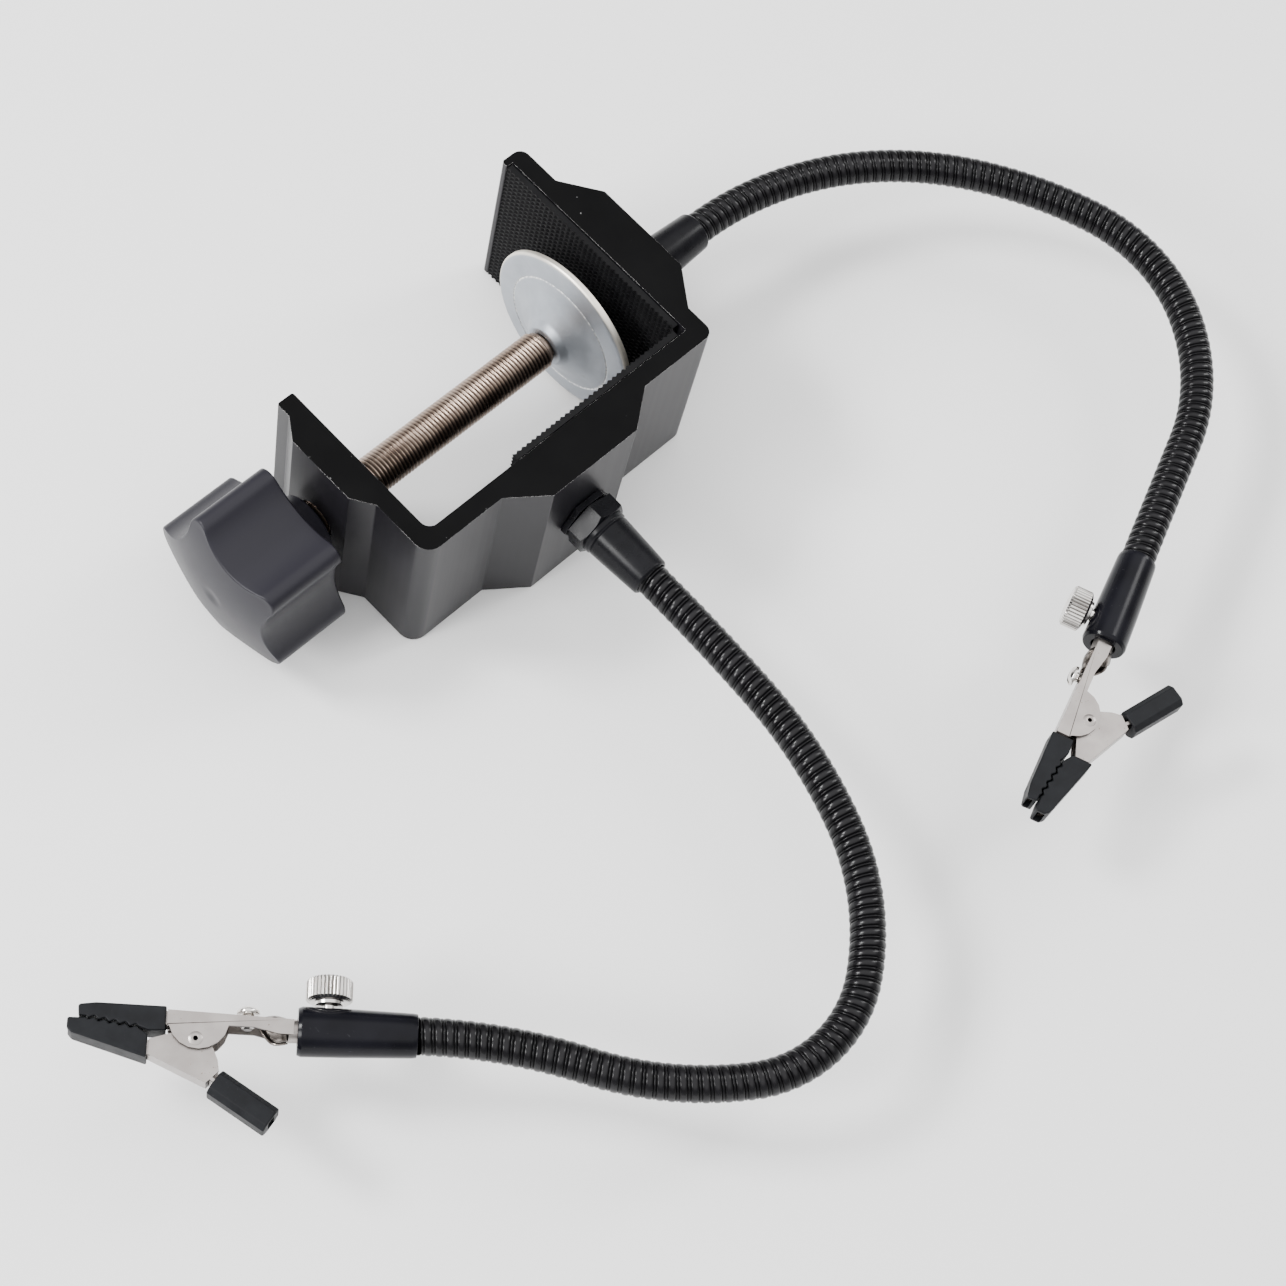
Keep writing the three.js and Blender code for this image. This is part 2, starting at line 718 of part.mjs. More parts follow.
function lowerBootGeometry() {
  const x = RIVET_X;
  const y = RIVET_Y;
  const outer = plate(
    [
      [x + 9.9, y - 4.4],
      [x + 25.6, y + 0.5, 0.8],
      [x + 26.5, y + 1.5, 0.5],
      [x + 26.5, y + 3.7, 0.4],
      ...toothLine([x + 22.7, y + 3.75], [x + 11.9, y + 1.9]),
      [x + 9.9, y + 0.6],
    ],
    BOOT_WIDTH,
  );
  const pocket = plate(
    [
      [x + 8.5, y - 4.3],
      [x + 28, y + 1.85],
      [x + 28, y + 3.4],
      [x + 12, y + 0.5],
      [x + 8.5, y + 0.1],
    ],
    JAW_WIDTH + 2 * GAP,
  );
  return cut(outer, pocket);
}

function gripGeometry() {
  const half = GRIP_HEIGHT / 2;
  const side = GRIP_WIDTH / 2;
  const chamfer = 1.3;
  const section = roundedShape([
    [-half, -side + chamfer],
    [-half + chamfer, -side],
    [half - chamfer, -side],
    [half, -side + chamfer],
    [half, side - chamfer],
    [half - chamfer, side],
    [-half + chamfer, side],
    [-half, side - chamfer],
  ]);
  const outside = slab(section, GRIP_START, GRIP_LENGTH).rotateY(Math.PI / 2);
  const inside = box(-1, GRIP_LENGTH + 1, -1.5, 1.5, -LOWER_WIDTH / 2 - GAP, LOWER_WIDTH / 2 + GAP);
  return cut(outside, inside)
    .rotateZ(THREE.MathUtils.degToRad(GRIP_ANGLE))
    .translate(RIVET_X - HANDLE_X, RIVET_Y - HANDLE_Y, 0);
}

function rivetGeometry() {
  const half = UPPER_WIDTH / 2 + GAP;
  const shape = turned(
    [
      [-half - 0.4, 0],
      [-half - 0.4, 1.3],
      [-half, 1.6],
      [-half, 1],
      [half, 1],
      [half, 1.6],
      [half + 0.4, 1.3],
      [half + 0.4, 0],
    ],
    12,
  );
  return shape.rotateY(-Math.PI / 2).translate(RIVET_X, RIVET_Y, 0);
}

function bindingScrewGeometry() {
  const web = 3.9;
  const head = turned(
    [
      [web - 3.4, 0],
      [web - 3.4, 1.2],
      [web, 1.2],
      [web, 2.4],
      [web + 0.9, 2.35],
      [web + 1.5, 1.5],
      [web + 1.6, 0],
    ],
    14,
  ).rotateZ(Math.PI / 2);
  const slot = box(-3, 3, web + 0.8, web + 2, -0.35, 0.35);
  return cut(head, slot).translate(RIVET_X - 10.6, -0.6, 0);
}

function springGeometry() {
  const half = 1.4;
  const coil = turned(
    [
      [-half, 1.5],
      [-half, 2.1],
      [half, 2.1],
      [half, 1.5],
      [-half, 1.5],
    ],
    14,
  )
    .rotateY(-Math.PI / 2)
    .translate(RIVET_X, RIVET_Y, 0);
  const leg = box(-6.5, 0, 1.55, 2.05, 0.6, 1.2).rotateZ(-0.42).translate(RIVET_X, RIVET_Y, 0);
  return joined(coil, leg);
}

function addClip(parent, arm) {
  const clip = new THREE.Group();
  clip.position.x = SLEEVE_LENGTH;
  clip.rotation.x = Math.PI;
  parent.add(clip);
  piece(clip, `${arm}_clip_upper_jaw`, upperJawGeometry(), clipSteel);
  piece(clip, `${arm}_clip_lower_jaw`, lowerJawGeometry(), clipSteel);
  piece(clip, `${arm}_clip_upper_boot`, upperBootGeometry(), bootVinyl);
  piece(clip, `${arm}_clip_lower_boot`, lowerBootGeometry(), bootVinyl);
  piece(clip, `${arm}_clip_grip`, gripGeometry(), bootVinyl);
  piece(clip, `${arm}_clip_rivet`, rivetGeometry(), brightNickel);
  piece(clip, `${arm}_clip_binding_screw`, bindingScrewGeometry(), brightNickel);
  piece(clip, `${arm}_clip_spring`, springGeometry(), brightNickel);
}

// ---- a whole arm: fitting, chain of hose lengths, end sleeve, thumbscrew and clip ----
function addArm(parent, arm, bends) {
  piece(parent, `${arm}_lock_nut`, nutGeometry(), fittingBlack);
  piece(parent, `${arm}_base_fitting`, fittingGeometry(), fittingBlack);
  let link = new THREE.Group();
  link.position.x = FITTING_LENGTH + GAP;
  parent.add(link);
  bends.forEach((degrees, i) => {
    const path = new Bend(HOSE_LINK, degrees);
    const isLast = i === bends.length - 1;
    piece(link, `${arm}_hose_${i + 1}`, hoseGeometry(path, i === 0, isLast), hoseBlack);
    const next = new THREE.Group();
    next.position.copy(path.getPoint(1));
    next.rotation.z = path.turn;
    link.add(next);
    link = next;
  });
  piece(link, `${arm}_end_sleeve`, sleeveGeometry(), sleeveBlack);
  const thumbscrew = piece(link, `${arm}_thumbscrew`, thumbscrewGeometry(), brightNickel);
  thumbscrew.position.set(SLEEVE_LENGTH - THUMB_FROM_END, -TAIL_RADIUS - GAP, 0);
  thumbscrew.rotation.x = Math.PI;
  addClip(link, arm);
}

const clamp = new THREE.Group();
piece(clamp, "clamp_frame", frameGeometry(), frameBlack);
addPads(clamp);
addScrewGroup(clamp);

const armA = new THREE.Group();
armA.position.set(0, -WALL / 2 - BOSS_HEIGHT, MID_Z);
armA.rotation.z = -Math.PI / 2;
clamp.add(armA);
addArm(armA, "arm_a", BENDS_A);

const armB = new THREE.Group();
armB.position.set(FRAME_WIDTH / 2 + BOSS_HEIGHT, AXIS_Y, MID_Z);
clamp.add(armB);
addArm(armB, "arm_b", BENDS_B);

export default clamp;
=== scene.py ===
"""Looks of a bench clamp with two gooseneck arms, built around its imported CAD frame.

Metres and +Z up, as in the frame. Shapes are drawn in millimetres in a local frame of their own, and a
Matrix places them. +X runs from the screw arm to the fixed jaw, +Y from the spine to the jaw tips.
"""
import json
import math

import bmesh
import bpy
import numpy as np
from mathutils import Matrix, Vector


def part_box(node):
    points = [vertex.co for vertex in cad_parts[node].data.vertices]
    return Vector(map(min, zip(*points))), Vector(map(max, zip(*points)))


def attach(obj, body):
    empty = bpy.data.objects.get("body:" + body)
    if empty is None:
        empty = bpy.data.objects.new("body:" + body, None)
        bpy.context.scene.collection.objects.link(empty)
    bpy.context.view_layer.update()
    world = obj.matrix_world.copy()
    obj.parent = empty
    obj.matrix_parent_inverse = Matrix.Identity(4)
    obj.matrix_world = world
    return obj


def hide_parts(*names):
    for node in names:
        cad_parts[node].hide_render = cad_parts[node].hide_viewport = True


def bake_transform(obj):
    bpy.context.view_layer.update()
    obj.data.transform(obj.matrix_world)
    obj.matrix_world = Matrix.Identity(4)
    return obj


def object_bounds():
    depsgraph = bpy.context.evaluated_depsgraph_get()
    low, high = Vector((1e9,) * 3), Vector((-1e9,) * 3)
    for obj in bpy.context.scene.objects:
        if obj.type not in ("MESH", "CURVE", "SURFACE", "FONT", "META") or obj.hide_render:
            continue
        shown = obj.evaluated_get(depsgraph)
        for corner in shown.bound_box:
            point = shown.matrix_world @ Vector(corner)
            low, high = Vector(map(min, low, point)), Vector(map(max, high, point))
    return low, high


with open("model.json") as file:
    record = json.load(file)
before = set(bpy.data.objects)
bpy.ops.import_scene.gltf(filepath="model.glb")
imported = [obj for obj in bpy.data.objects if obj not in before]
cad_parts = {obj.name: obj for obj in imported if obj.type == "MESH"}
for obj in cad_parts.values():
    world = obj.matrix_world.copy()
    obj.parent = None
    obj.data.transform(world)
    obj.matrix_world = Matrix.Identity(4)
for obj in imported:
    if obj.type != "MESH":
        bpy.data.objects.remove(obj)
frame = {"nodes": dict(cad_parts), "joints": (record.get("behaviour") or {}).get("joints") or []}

MM = 0.001
GROOVE_DEPTH = 0.4  # of a knurl, in millimetres, at which its painted shade is darkest
FLAT = math.radians(1)  # between faces that are one face of the real piece
SHARP = math.radians(40)  # between faces whose shared edge is eased
SHORT_EDGE = 0.3  # of a sheet's thickness
RIGHT, AHEAD, UP = Vector((1, 0, 0)), Vector((0, 1, 0)), Vector((0, 0, 1))
JOINTS = {joint["name"]: joint for joint in frame["joints"]}
cad_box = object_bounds()


# ---- places taken from the frame ----
def pivot(joint):
    return Vector(JOINTS[joint]["pos_m"])


def axis(joint):
    return Vector(JOINTS[joint]["axis"]).normalized()


def local(origin, x, y):
    """Matrix from millimetres in a local frame to metres in the part's frame."""
    x, y = x.normalized(), y.normalized()
    z = x.cross(y)
    rotation = Matrix((x, y, z)).transposed().to_4x4()
    return Matrix.Translation(origin) @ rotation @ Matrix.Scale(MM, 4)


def middle(node):
    low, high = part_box(node)
    return (low + high) / 2


SCREW_LINE = pivot("screw_turn")
SCREW_PLACE = local(SCREW_LINE, RIGHT, AHEAD)


def along_screw(x):
    """Millimetres from the start of the screw line to a place along it given in metres."""
    return (x - SCREW_LINE.x) / MM


# ---- outlines ----
def eased(points, closed=False, steps=3):
    """A line of (x, y) or (x, y, radius) points with its corners rounded by arcs."""
    made = []
    count = len(points)
    for i, point in enumerate(points):
        here = np.array(point[:2], float)
        radius = point[2] if len(point) > 2 else 0
        is_end = not closed and i in (0, count - 1)
        if is_end or radius == 0:
            made.append(tuple(here))
            continue
        back = np.array(points[i - 1][:2], float) - here
        ahead = np.array(points[(i + 1) % count][:2], float) - here
        back /= np.linalg.norm(back)
        ahead /= np.linalg.norm(ahead)
        half = math.acos(np.clip(back @ ahead, -1, 1)) / 2
        inward = (back + ahead) / np.linalg.norm(back + ahead)
        centre = here + inward * radius / math.sin(half)
        start = here + back * radius / math.tan(half) - centre
        end = here + ahead * radius / math.tan(half) - centre
        turn = math.atan2(start[0] * end[1] - start[1] * end[0], start @ end)
        for k in range(steps + 1):
            c, s = math.cos(turn * k / steps), math.sin(turn * k / steps)
            made.append(tuple(centre + (start[0] * c - start[1] * s, start[0] * s + start[1] * c)))
    return made


def inset(outline, distance):
    """A closed counter-clockwise outline moved inwards by a distance."""
    points = np.array(outline, float)
    ahead = np.roll(points, -1, 0) - points
    ahead /= np.linalg.norm(ahead, axis=1)[:, None]
    normal = np.stack([-ahead[:, 1], ahead[:, 0]], 1)
    before = np.roll(normal, 1, 0)
    corner = 1 + (normal * before).sum(1)
    return points + distance * (normal + before) / np.maximum(corner, 0.4)[:, None]


# ---- meshes ----
def finished(mesh, smooth):
    """Welds a mesh, turns its faces outwards and shades it smooth up to an angle in degrees."""
    shape = bmesh.new()
    shape.from_mesh(mesh)
    bmesh.ops.remove_doubles(shape, verts=shape.verts, dist=1e-7)
    bmesh.ops.dissolve_degenerate(shape, edges=shape.edges, dist=1e-7)
    bmesh.ops.recalc_face_normals(shape, faces=shape.faces)
    shape.to_mesh(mesh)
    shape.free()
    mesh.shade_smooth()
    mesh.set_sharp_from_angle(angle=math.radians(smooth))
    return mesh


def made(name, vertices, faces, place, material, smooth=40, painted_shade=None):
    """A new object from points in a local frame. painted_shade is 0 on a crest to 1 in a groove, for each
    point: painted shade for its material.
    """
    mesh = bpy.data.meshes.new(name)
    mesh.from_pydata([place @ Vector(v) for v in vertices], [], faces)
    if painted_shade is not None:
        mesh.attributes.new("painted_shade", "FLOAT", "POINT").data.foreach_set("value", painted_shade)
    obj = bpy.data.objects.new(name, finished(mesh, smooth))
    obj.data.materials.append(material)
    bpy.context.scene.collection.objects.link(obj)
    return obj


def grid_faces(rows, columns, closed=True):
    """Quads over a grid of points that is numbered row by row."""
    across = columns if closed else columns - 1
    faces = []
    for i in range(rows - 1):
        here, next_row = i * columns, (i + 1) * columns
        for j in range(across):
            beside = (j + 1) % columns
            faces.append((here + j, next_row + j, next_row + beside, here + beside))
    return faces


def revolved(name, profile, place, material, sides=64, radius=None, smooth=40, dark=None):
    """A body about local X. The profile is (x, radius) pairs; radius(x, r, angle) may cut into a ring.

    dark(x, r) is 1 where the piece gets full painted shade: deep in a hole or in another part's shadow.
    """
    angles = [2 * math.pi * j / sides for j in range(sides)]
    points, painted_shade = [], []
    for x, r in profile:
        for angle in angles:
            reach = radius(x, r, angle) if radius else r
            points.append((x, reach * math.cos(angle), reach * math.sin(angle)))
            # painted shade, from dark() or from how deep the ring is cut
            painted_shade.append(dark(x, r) if dark else min((r - reach) / GROOVE_DEPTH, 1))
    return made(name, points, grid_faces(len(profile), sides), place, material, smooth, painted_shade)


def prism(name, outline, half, ease, place, material, steps=3):
    """A plate with the outline in local XY, from -half to half along Z, its rims rounded."""
    levels = [(ease * (1 - math.sin(a)), -half + ease * (1 - math.cos(a))) for a in quarter(steps)]
    levels += [(rim, -z) for rim, z in reversed(levels)]
    points, count = [], len(outline)
    for rim, z in levels:
        points += [(x, y, z) for x, y in inset(outline, rim)]
    faces = grid_faces(len(levels), count)
    faces.append(tuple(range(count)))
    faces.append(tuple(range(len(points) - count, len(points))))
    return made(name, points, faces, place, material)


def quarter(steps):
    """Angles from 0 to 90 degrees."""
    return [math.pi / 2 * k / steps for k in range(steps + 1)]


def from_cad(node, material, ease, rim, sheet=0.0):
    """The CAD node's own shape with its facets joined and its edges eased.

    The rim material goes on the eased edges and on faces no wider than the sheet. Very short edges are
    merged first, because one of them would hold back the easing of every edge.
    """
    shape = bmesh.new()
    shape.from_mesh(frame["nodes"][node].data)
    shortest = max(0.002, SHORT_EDGE * sheet)
    bmesh.ops.remove_doubles(shape, verts=shape.verts, dist=shortest * MM)
    bmesh.ops.dissolve_limit(shape, angle_limit=FLAT, verts=shape.verts, edges=shape.edges)
    edges = [e for e in shape.edges if e.is_manifold and e.calc_face_angle() > SHARP]
    for face in shape.faces:
        if 2 * face.calc_area() < sheet * MM * face.calc_perimeter():
            face.material_index = 1
    bmesh.ops.bevel(
        shape, geom=edges, offset=ease * MM, segments=2, profile=0.5, affect="EDGES",
        clamp_overlap=True, material=1,
    )
    mesh = bpy.data.meshes.new(f"{node}_look")
    shape.to_mesh(mesh)
    shape.free()
    mesh.shade_smooth()
    mesh.set_sharp_from_angle(angle=math.radians(50))
    mesh.materials.append(material)
    mesh.materials.append(rim)
    obj = bpy.data.objects.new(mesh.name, mesh)
    bpy.context.scene.collection.objects.link(obj)
    return flat_sided(obj)


def cut(obj, *tools, operation="DIFFERENCE"):
    """Takes the tools out of an object, or keeps what is inside them, and removes them."""
    for tool in tools:
        modifier = obj.modifiers.new("cut", "BOOLEAN")
        modifier.operation = operation
        modifier.solver = "EXACT"
        modifier.object = tool
    bpy.context.view_layer.update()
    graph = bpy.context.evaluated_depsgraph_get()
    mesh = bpy.data.meshes.new_from_object(obj.evaluated_get(graph))
    obj.modifiers.clear()
    obj.data = mesh
    mesh.shade_smooth()
    mesh.set_sharp_from_angle(angle=math.radians(35))
    for tool in tools:
        bpy.data.objects.remove(tool)
    return flat_sided(obj)


def flat_sided(obj):
    """Keeps the large faces flat beside their rounded rims."""
    weighted = obj.modifiers.new("flat_faces", "WEIGHTED_NORMAL")
    weighted.keep_sharp = True
    return obj


def carry(obj, body, slot, *nodes):
    """Ties a finished piece to its CAD body and hides the nodes it stands for. The slot is not used."""
    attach(obj, body)
    if nodes:
        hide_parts(*nodes)


# ---- materials ----
class Nodes:
    """A material's node tree, with short calls for the nodes used here."""

    def __init__(self, name):
        self.material = bpy.data.materials.new(name)
        self.material.use_nodes = True
        self.tree = self.material.node_tree
        self.tree.nodes.clear()
        self.output = self.node("OutputMaterial")
        self.coords = self.node("TexCoord").outputs["Object"]

    def node(self, kind, **settings):
        node = self.tree.nodes.new(f"ShaderNode{kind}")
        for key, value in settings.items():
            setattr(node, key, value)
        return node

    def link(self, a, b):
        self.tree.links.new(a, b)

    def noise(self, size_mm, detail=3.0, roughness=0.5, stretch=(1, 1, 1)):
        """Noise whose features are about size_mm across, drawn out along an axis by stretch."""
        mapping = self.node("Mapping")
        mapping.inputs["Scale"].default_value = [1 / s for s in stretch]
        self.link(self.coords, mapping.inputs["Vector"])
        texture = self.node("TexNoise")
        texture.inputs["Scale"].default_value = 1 / (size_mm * MM)
        texture.inputs["Detail"].default_value = detail
        texture.inputs["Roughness"].default_value = roughness
        self.link(mapping.outputs["Vector"], texture.inputs["Vector"])
        return texture.outputs["Fac"]

    def ranged(self, value, low, high, to_low, to_high):
        node = self.node("MapRange")
        numbers = {"From Min": low, "From Max": high, "To Min": to_low, "To Max": to_high}
        for key, number in numbers.items():
            node.inputs[key].default_value = number
        self.link(value, node.inputs["Value"])
        return node.outputs["Result"]

    def mixed(self, factor, a, b):
        """Colour a where the factor is 0 and b where it is 1. Each is a colour or a socket."""
        node = self.node("Mix", data_type="RGBA")
        self.link(factor, node.inputs["Factor"])
        for socket, colour in ((node.inputs[6], a), (node.inputs[7], b)):
            if isinstance(colour, tuple):
                socket.default_value = (*colour, 1)
            else:
                self.link(colour, socket)
        return node.outputs[2]

    def clouded(self, value, low, high, a, b):
        """Colour a where the value is low and b where it is high."""
        return self.mixed(self.ranged(value, low, high, 0, 1), a, b)

    def times(self, a, b):
        node = self.node("Math", operation="MULTIPLY")
        self.link(a, node.inputs[0])
        if isinstance(b, (int, float)):
            node.inputs[1].default_value = b
        else:
            self.link(b, node.inputs[1])
        return node.outputs[0]

    def from_axis(self, point):
        """Distance in metres from a line along X through a point."""
        offset = self.node("VectorMath", operation="SUBTRACT")
        self.link(self.coords, offset.inputs[0])
        offset.inputs[1].default_value = point
        across = self.node("VectorMath", operation="MULTIPLY")
        self.link(offset.outputs["Vector"], across.inputs[0])
        across.inputs[1].default_value = (0, 1, 1)
        length = self.node("VectorMath", operation="LENGTH")
        self.link(across.outputs["Vector"], length.inputs[0])
        return length.outputs["Value"]

    def attribute(self, name):
        return self.node("Attribute", attribute_name=name).outputs["Fac"]

    def bump(self, height, depth_mm, after=None):
        node = self.node("Bump")
        node.inputs["Distance"].default_value = depth_mm * MM
        self.link(height, node.inputs["Height"])
        if after is not None:
            self.link(after, node.inputs["Normal"])
        return node.outputs["Normal"]

    def shaded(self, colour, roughness, metallic=0.0, normal=None, specular=0.5):
        """The finished material. Each value is a number, a colour or a socket."""
        node = self.node("BsdfPrincipled")
        values = {"Base Color": colour, "Roughness": roughness, "Metallic": metallic}
        values["Specular IOR Level"] = specular
        for key, value in values.items():
            if isinstance(value, bpy.types.NodeSocket):
                self.link(value, node.inputs[key])
            else:
                node.inputs[key].default_value = value
        if normal is not None:
            self.link(normal, node.inputs["Normal"])
        self.link(node.outputs["BSDF"], self.output.inputs["Surface"])
        return self.material


def frame_paint():
    """Black finish on extruded aluminium: satin along the extrusion, dull and speckled on the cut ends, whose
    darker colour is painted shade.
    """
    n = Nodes("frame_black")
    lines = n.noise(1.4, detail=2, stretch=(1, 1, 300))
    clouds = n.noise(12, detail=4)
    grain = n.noise(0.25, detail=2)
    specks = n.ranged(n.noise(1.1, detail=2), 0.76, 0.79, 0, 1)
    normals = n.node("TexCoord").outputs["Normal"]
    split = n.node("SeparateXYZ")
    n.link(normals, split.inputs["Vector"])
    flat_end = n.times(split.outputs["Z"], split.outputs["Z"])
    side = n.clouded(clouds, 0.35, 0.7, (0.0075, 0.007, 0.009), (0.010, 0.0094, 0.012))
    # painted shade: the cut ends, the top among them, get a darker colour than the sides
    end = n.clouded(clouds, 0.35, 0.7, (0.0022, 0.0022, 0.0024), (0.0034, 0.0034, 0.0036))
    end = n.mixed(n.times(specks, 0.5), end, (0.3, 0.3, 0.3))
    side_roughness = n.clouded(lines, 0.3, 0.7, (0.34, 0.34, 0.34), (0.36, 0.36, 0.36))
    roughness = n.mixed(flat_end, side_roughness, n.ranged(grain, 0.3, 0.7, 0.45, 0.6))
    specular = n.ranged(flat_end, 0, 1, 0.2, 0.05)
    normal = n.bump(lines, 0.0004, n.bump(grain, 0.004))
    return n.shaded(n.mixed(flat_end, side, end), roughness, 0.0, normal, specular=specular)


def frame_rim():
    """The frame's edges, where pale spots stand partly for chips through to bare aluminium and partly for
    painted highlight on the eased edges.
    """
    n = Nodes("frame_edge_wear_and_highlight")
    runs = n.ranged(n.noise(9, detail=2), 0.38, 0.5, 0, 1)
    chips_and_glints = n.ranged(n.noise(0.8, detail=4, roughness=0.7), 0.42, 0.5, 0, 1)
    wear_and_highlight = n.times(runs, chips_and_glints)
    # pale spots: partly chips through to bare aluminium, partly painted highlight on the eased edges
    colour = n.mixed(wear_and_highlight, (0.02, 0.02, 0.022), (0.75, 0.74, 0.72))
    roughness = n.ranged(wear_and_highlight, 0, 1, 0.35, 0.5)
    return n.shaded(colour, roughness, n.times(wear_and_highlight, 0.2), n.bump(wear_and_highlight, -0.03), specular=0.3)


def rubber():
    n = Nodes("black_rubber")
    clouds = n.noise(4, detail=3)
    colour = n.clouded(clouds, 0.3, 0.7, (0.0035, 0.0035, 0.004), (0.007, 0.007, 0.0075))
    roughness = n.ranged(clouds, 0.3, 0.7, 0.5, 0.65)
    return n.shaded(colour, roughness, 0.0, n.bump(n.noise(0.2), 0.015), specular=0.1)


def knob_plastic():
    """Charcoal moulded plastic with a fine satin texture and faint flow marks."""
    n = Nodes("charcoal_plastic")
    flow = n.noise(12, detail=3, stretch=(3, 1, 1))
    texture = n.noise(0.18, detail=2)
    colour = n.clouded(flow, 0.3, 0.7, (0.0105, 0.0098, 0.0142), (0.0142, 0.0134, 0.0188))
    roughness = n.ranged(flow, 0.3, 0.7, 0.34, 0.42)
    return n.shaded(colour, roughness, 0.0, n.bump(texture, 0.008), specular=0.23)


def screw_metal():
    """Nickel-plated thread gone warm brown, with painted shade in the grooves and on the neck by the knob."""
    n = Nodes("warm_nickel")
    patches = n.noise(9, detail=3)
    colour = n.clouded(patches, 0.35, 0.65, (0.33, 0.245, 0.19), (0.47, 0.37, 0.30))
    # painted shade in the thread's grooves and on the neck by the knob
    colour = n.mixed(n.attribute("painted_shade"), colour, (0.06, 0.042, 0.034))
    scratches = n.noise(0.2, detail=3, stretch=(1, 6, 6))
    return n.shaded(colour, n.ranged(patches, 0.3, 0.7, 0.26, 0.36), 1.0, n.bump(scratches, 0.003))


def zinc():
    """Bright zinc plate, cloudy and finely scratched, with a pale ring on the step of the disc and a painted
    highlight round its rim.
    """
    n = Nodes("zinc_plate")
    clouds = n.noise(8, detail=5, roughness=0.6)
    colour = n.clouded(clouds, 0.3, 0.7, (0.31, 0.335, 0.37), (0.43, 0.455, 0.49))
    stains = n.ranged(n.noise(1.6, detail=4), 0.66, 0.74, 0, 0.5)
    colour = n.mixed(stains, colour, (0.32, 0.32, 0.32))
    reach = n.from_axis(SCREW_LINE)
    ring = n.times(n.ranged(reach, 15.5 * MM, 15.8 * MM, 0, 1), n.ranged(reach, 16.0 * MM, 16.3 * MM, 1, 0))
    pale_ring = n.times(ring, n.ranged(n.noise(0.8, detail=4), 0.4, 0.6, 0.1, 0.9))
    colour = n.mixed(pale_ring, colour, (0.86, 0.85, 0.82))
    # painted highlight: a warm pale band round the disc's rim
    rim = n.ranged(reach, 21.3 * MM, 21.8 * MM, 0, 1)
    colour = n.mixed(rim, colour, (0.80, 0.76, 0.68))
    fine = n.noise(0.35, detail=4)
    return n.shaded(colour, n.ranged(clouds, 0.3, 0.7, 0.36, 0.48), 0.9, n.bump(fine, 0.006))


def black_fitting():
    n = Nodes("black_plated_steel")
    clouds = n.noise(3, detail=4)
    colour = n.clouded(clouds, 0.3, 0.7, (0.003, 0.003, 0.0042), (0.0055, 0.0055, 0.0072))
    turned = n.noise(0.2, detail=2, stretch=(6, 6, 6))
    return n.shaded(colour, n.ranged(clouds, 0.3, 0.7, 0.25, 0.31), 0.0, n.bump(turned, 0.002), specular=0.14)


def hose_finish():
    """Black finish of the wound hose, duller in patches where it is handled, with painted shade darkest in
    the grooves.
    """
    n = Nodes("hose_black")
    patches = n.noise(14, detail=4, roughness=0.6)
    colour = n.clouded(patches, 0.35, 0.65, (0.0035, 0.0033, 0.004), (0.0065, 0.0062, 0.0075))
    # painted shade in the grooves between the wires
    colour = n.mixed(n.attribute("painted_shade"), colour, (0.001, 0.001, 0.0012))
    specular = n.ranged(n.attribute("painted_shade"), 0, 1, 0.24, 0.02)
    fine = n.noise(0.15, detail=2)
    roughness = n.ranged(patches, 0.35, 0.65, 0.2, 0.28)
    return n.shaded(colour, roughness, 0.0, n.bump(fine, 0.002), specular=specular)


def sleeve_gloss():
    n = Nodes("gloss_black_sleeve")
    waves = n.noise(9, detail=2)
    colour = n.clouded(waves, 0.3, 0.7, (0.003, 0.003, 0.0045), (0.006, 0.006, 0.009))
    scuffs = n.ranged(n.noise(0.5, detail=4, stretch=(1, 6, 1)), 0.68, 0.74, 0, 0.06)
    colour = n.mixed(scuffs, colour, (0.3, 0.3, 0.34))
    return n.shaded(colour, n.ranged(waves, 0.3, 0.7, 0.16, 0.24), 0.0, n.bump(waves, 0.01), specular=0.13)


def bright_nickel():
    n = Nodes("bright_nickel")
    smears = n.noise(2.5, detail=4)
    colour = n.clouded(smears, 0.35, 0.65, (0.68, 0.65, 0.62), (0.80, 0.78, 0.75))
    # painted shade in the thumbscrew's knurl grooves and under the binding screw's head
    colour = n.mixed(n.attribute("painted_shade"), colour, (0.10, 0.09, 0.085))
    return n.shaded(colour, n.ranged(smears, 0.35, 0.65, 0.14, 0.22), 1.0, n.bump(smears, 0.002))


def clip_steel():
    """Nickel-plated sheet steel, even and satin, with a few pits, and painted shade that makes the rivet's
    hole nearly black.
    """
    n = Nodes("clip_nickel")
    clouds = n.noise(6, detail=3)
    pits = n.ranged(n.noise(0.5, detail=1), 0.74, 0.78, 0, 1)
    colour = n.clouded(clouds, 0.35, 0.65, (0.34, 0.31, 0.295), (0.41, 0.38, 0.362))
    colour = n.mixed(pits, colour, (0.2, 0.16, 0.14))
    # painted shade in the rivet's hole
    colour = n.mixed(n.attribute("painted_shade"), colour, (0.01, 0.01, 0.01))
    return n.shaded(colour, n.ranged(clouds, 0.35, 0.65, 0.3, 0.36), 0.9, n.bump(pits, -0.015))


def clip_rim():
    """The clip sheet's eased edges and thin faces, in dark brown."""
    n = Nodes("clip_edge")
    clouds = n.noise(1.5, detail=4)
    colour = n.clouded(clouds, 0.35, 0.65, (0.012, 0.010, 0.009), (0.07, 0.058, 0.052))
    return n.shaded(colour, n.ranged(clouds, 0.35, 0.65, 0.3, 0.4), 0.9, n.bump(clouds, 0.01))


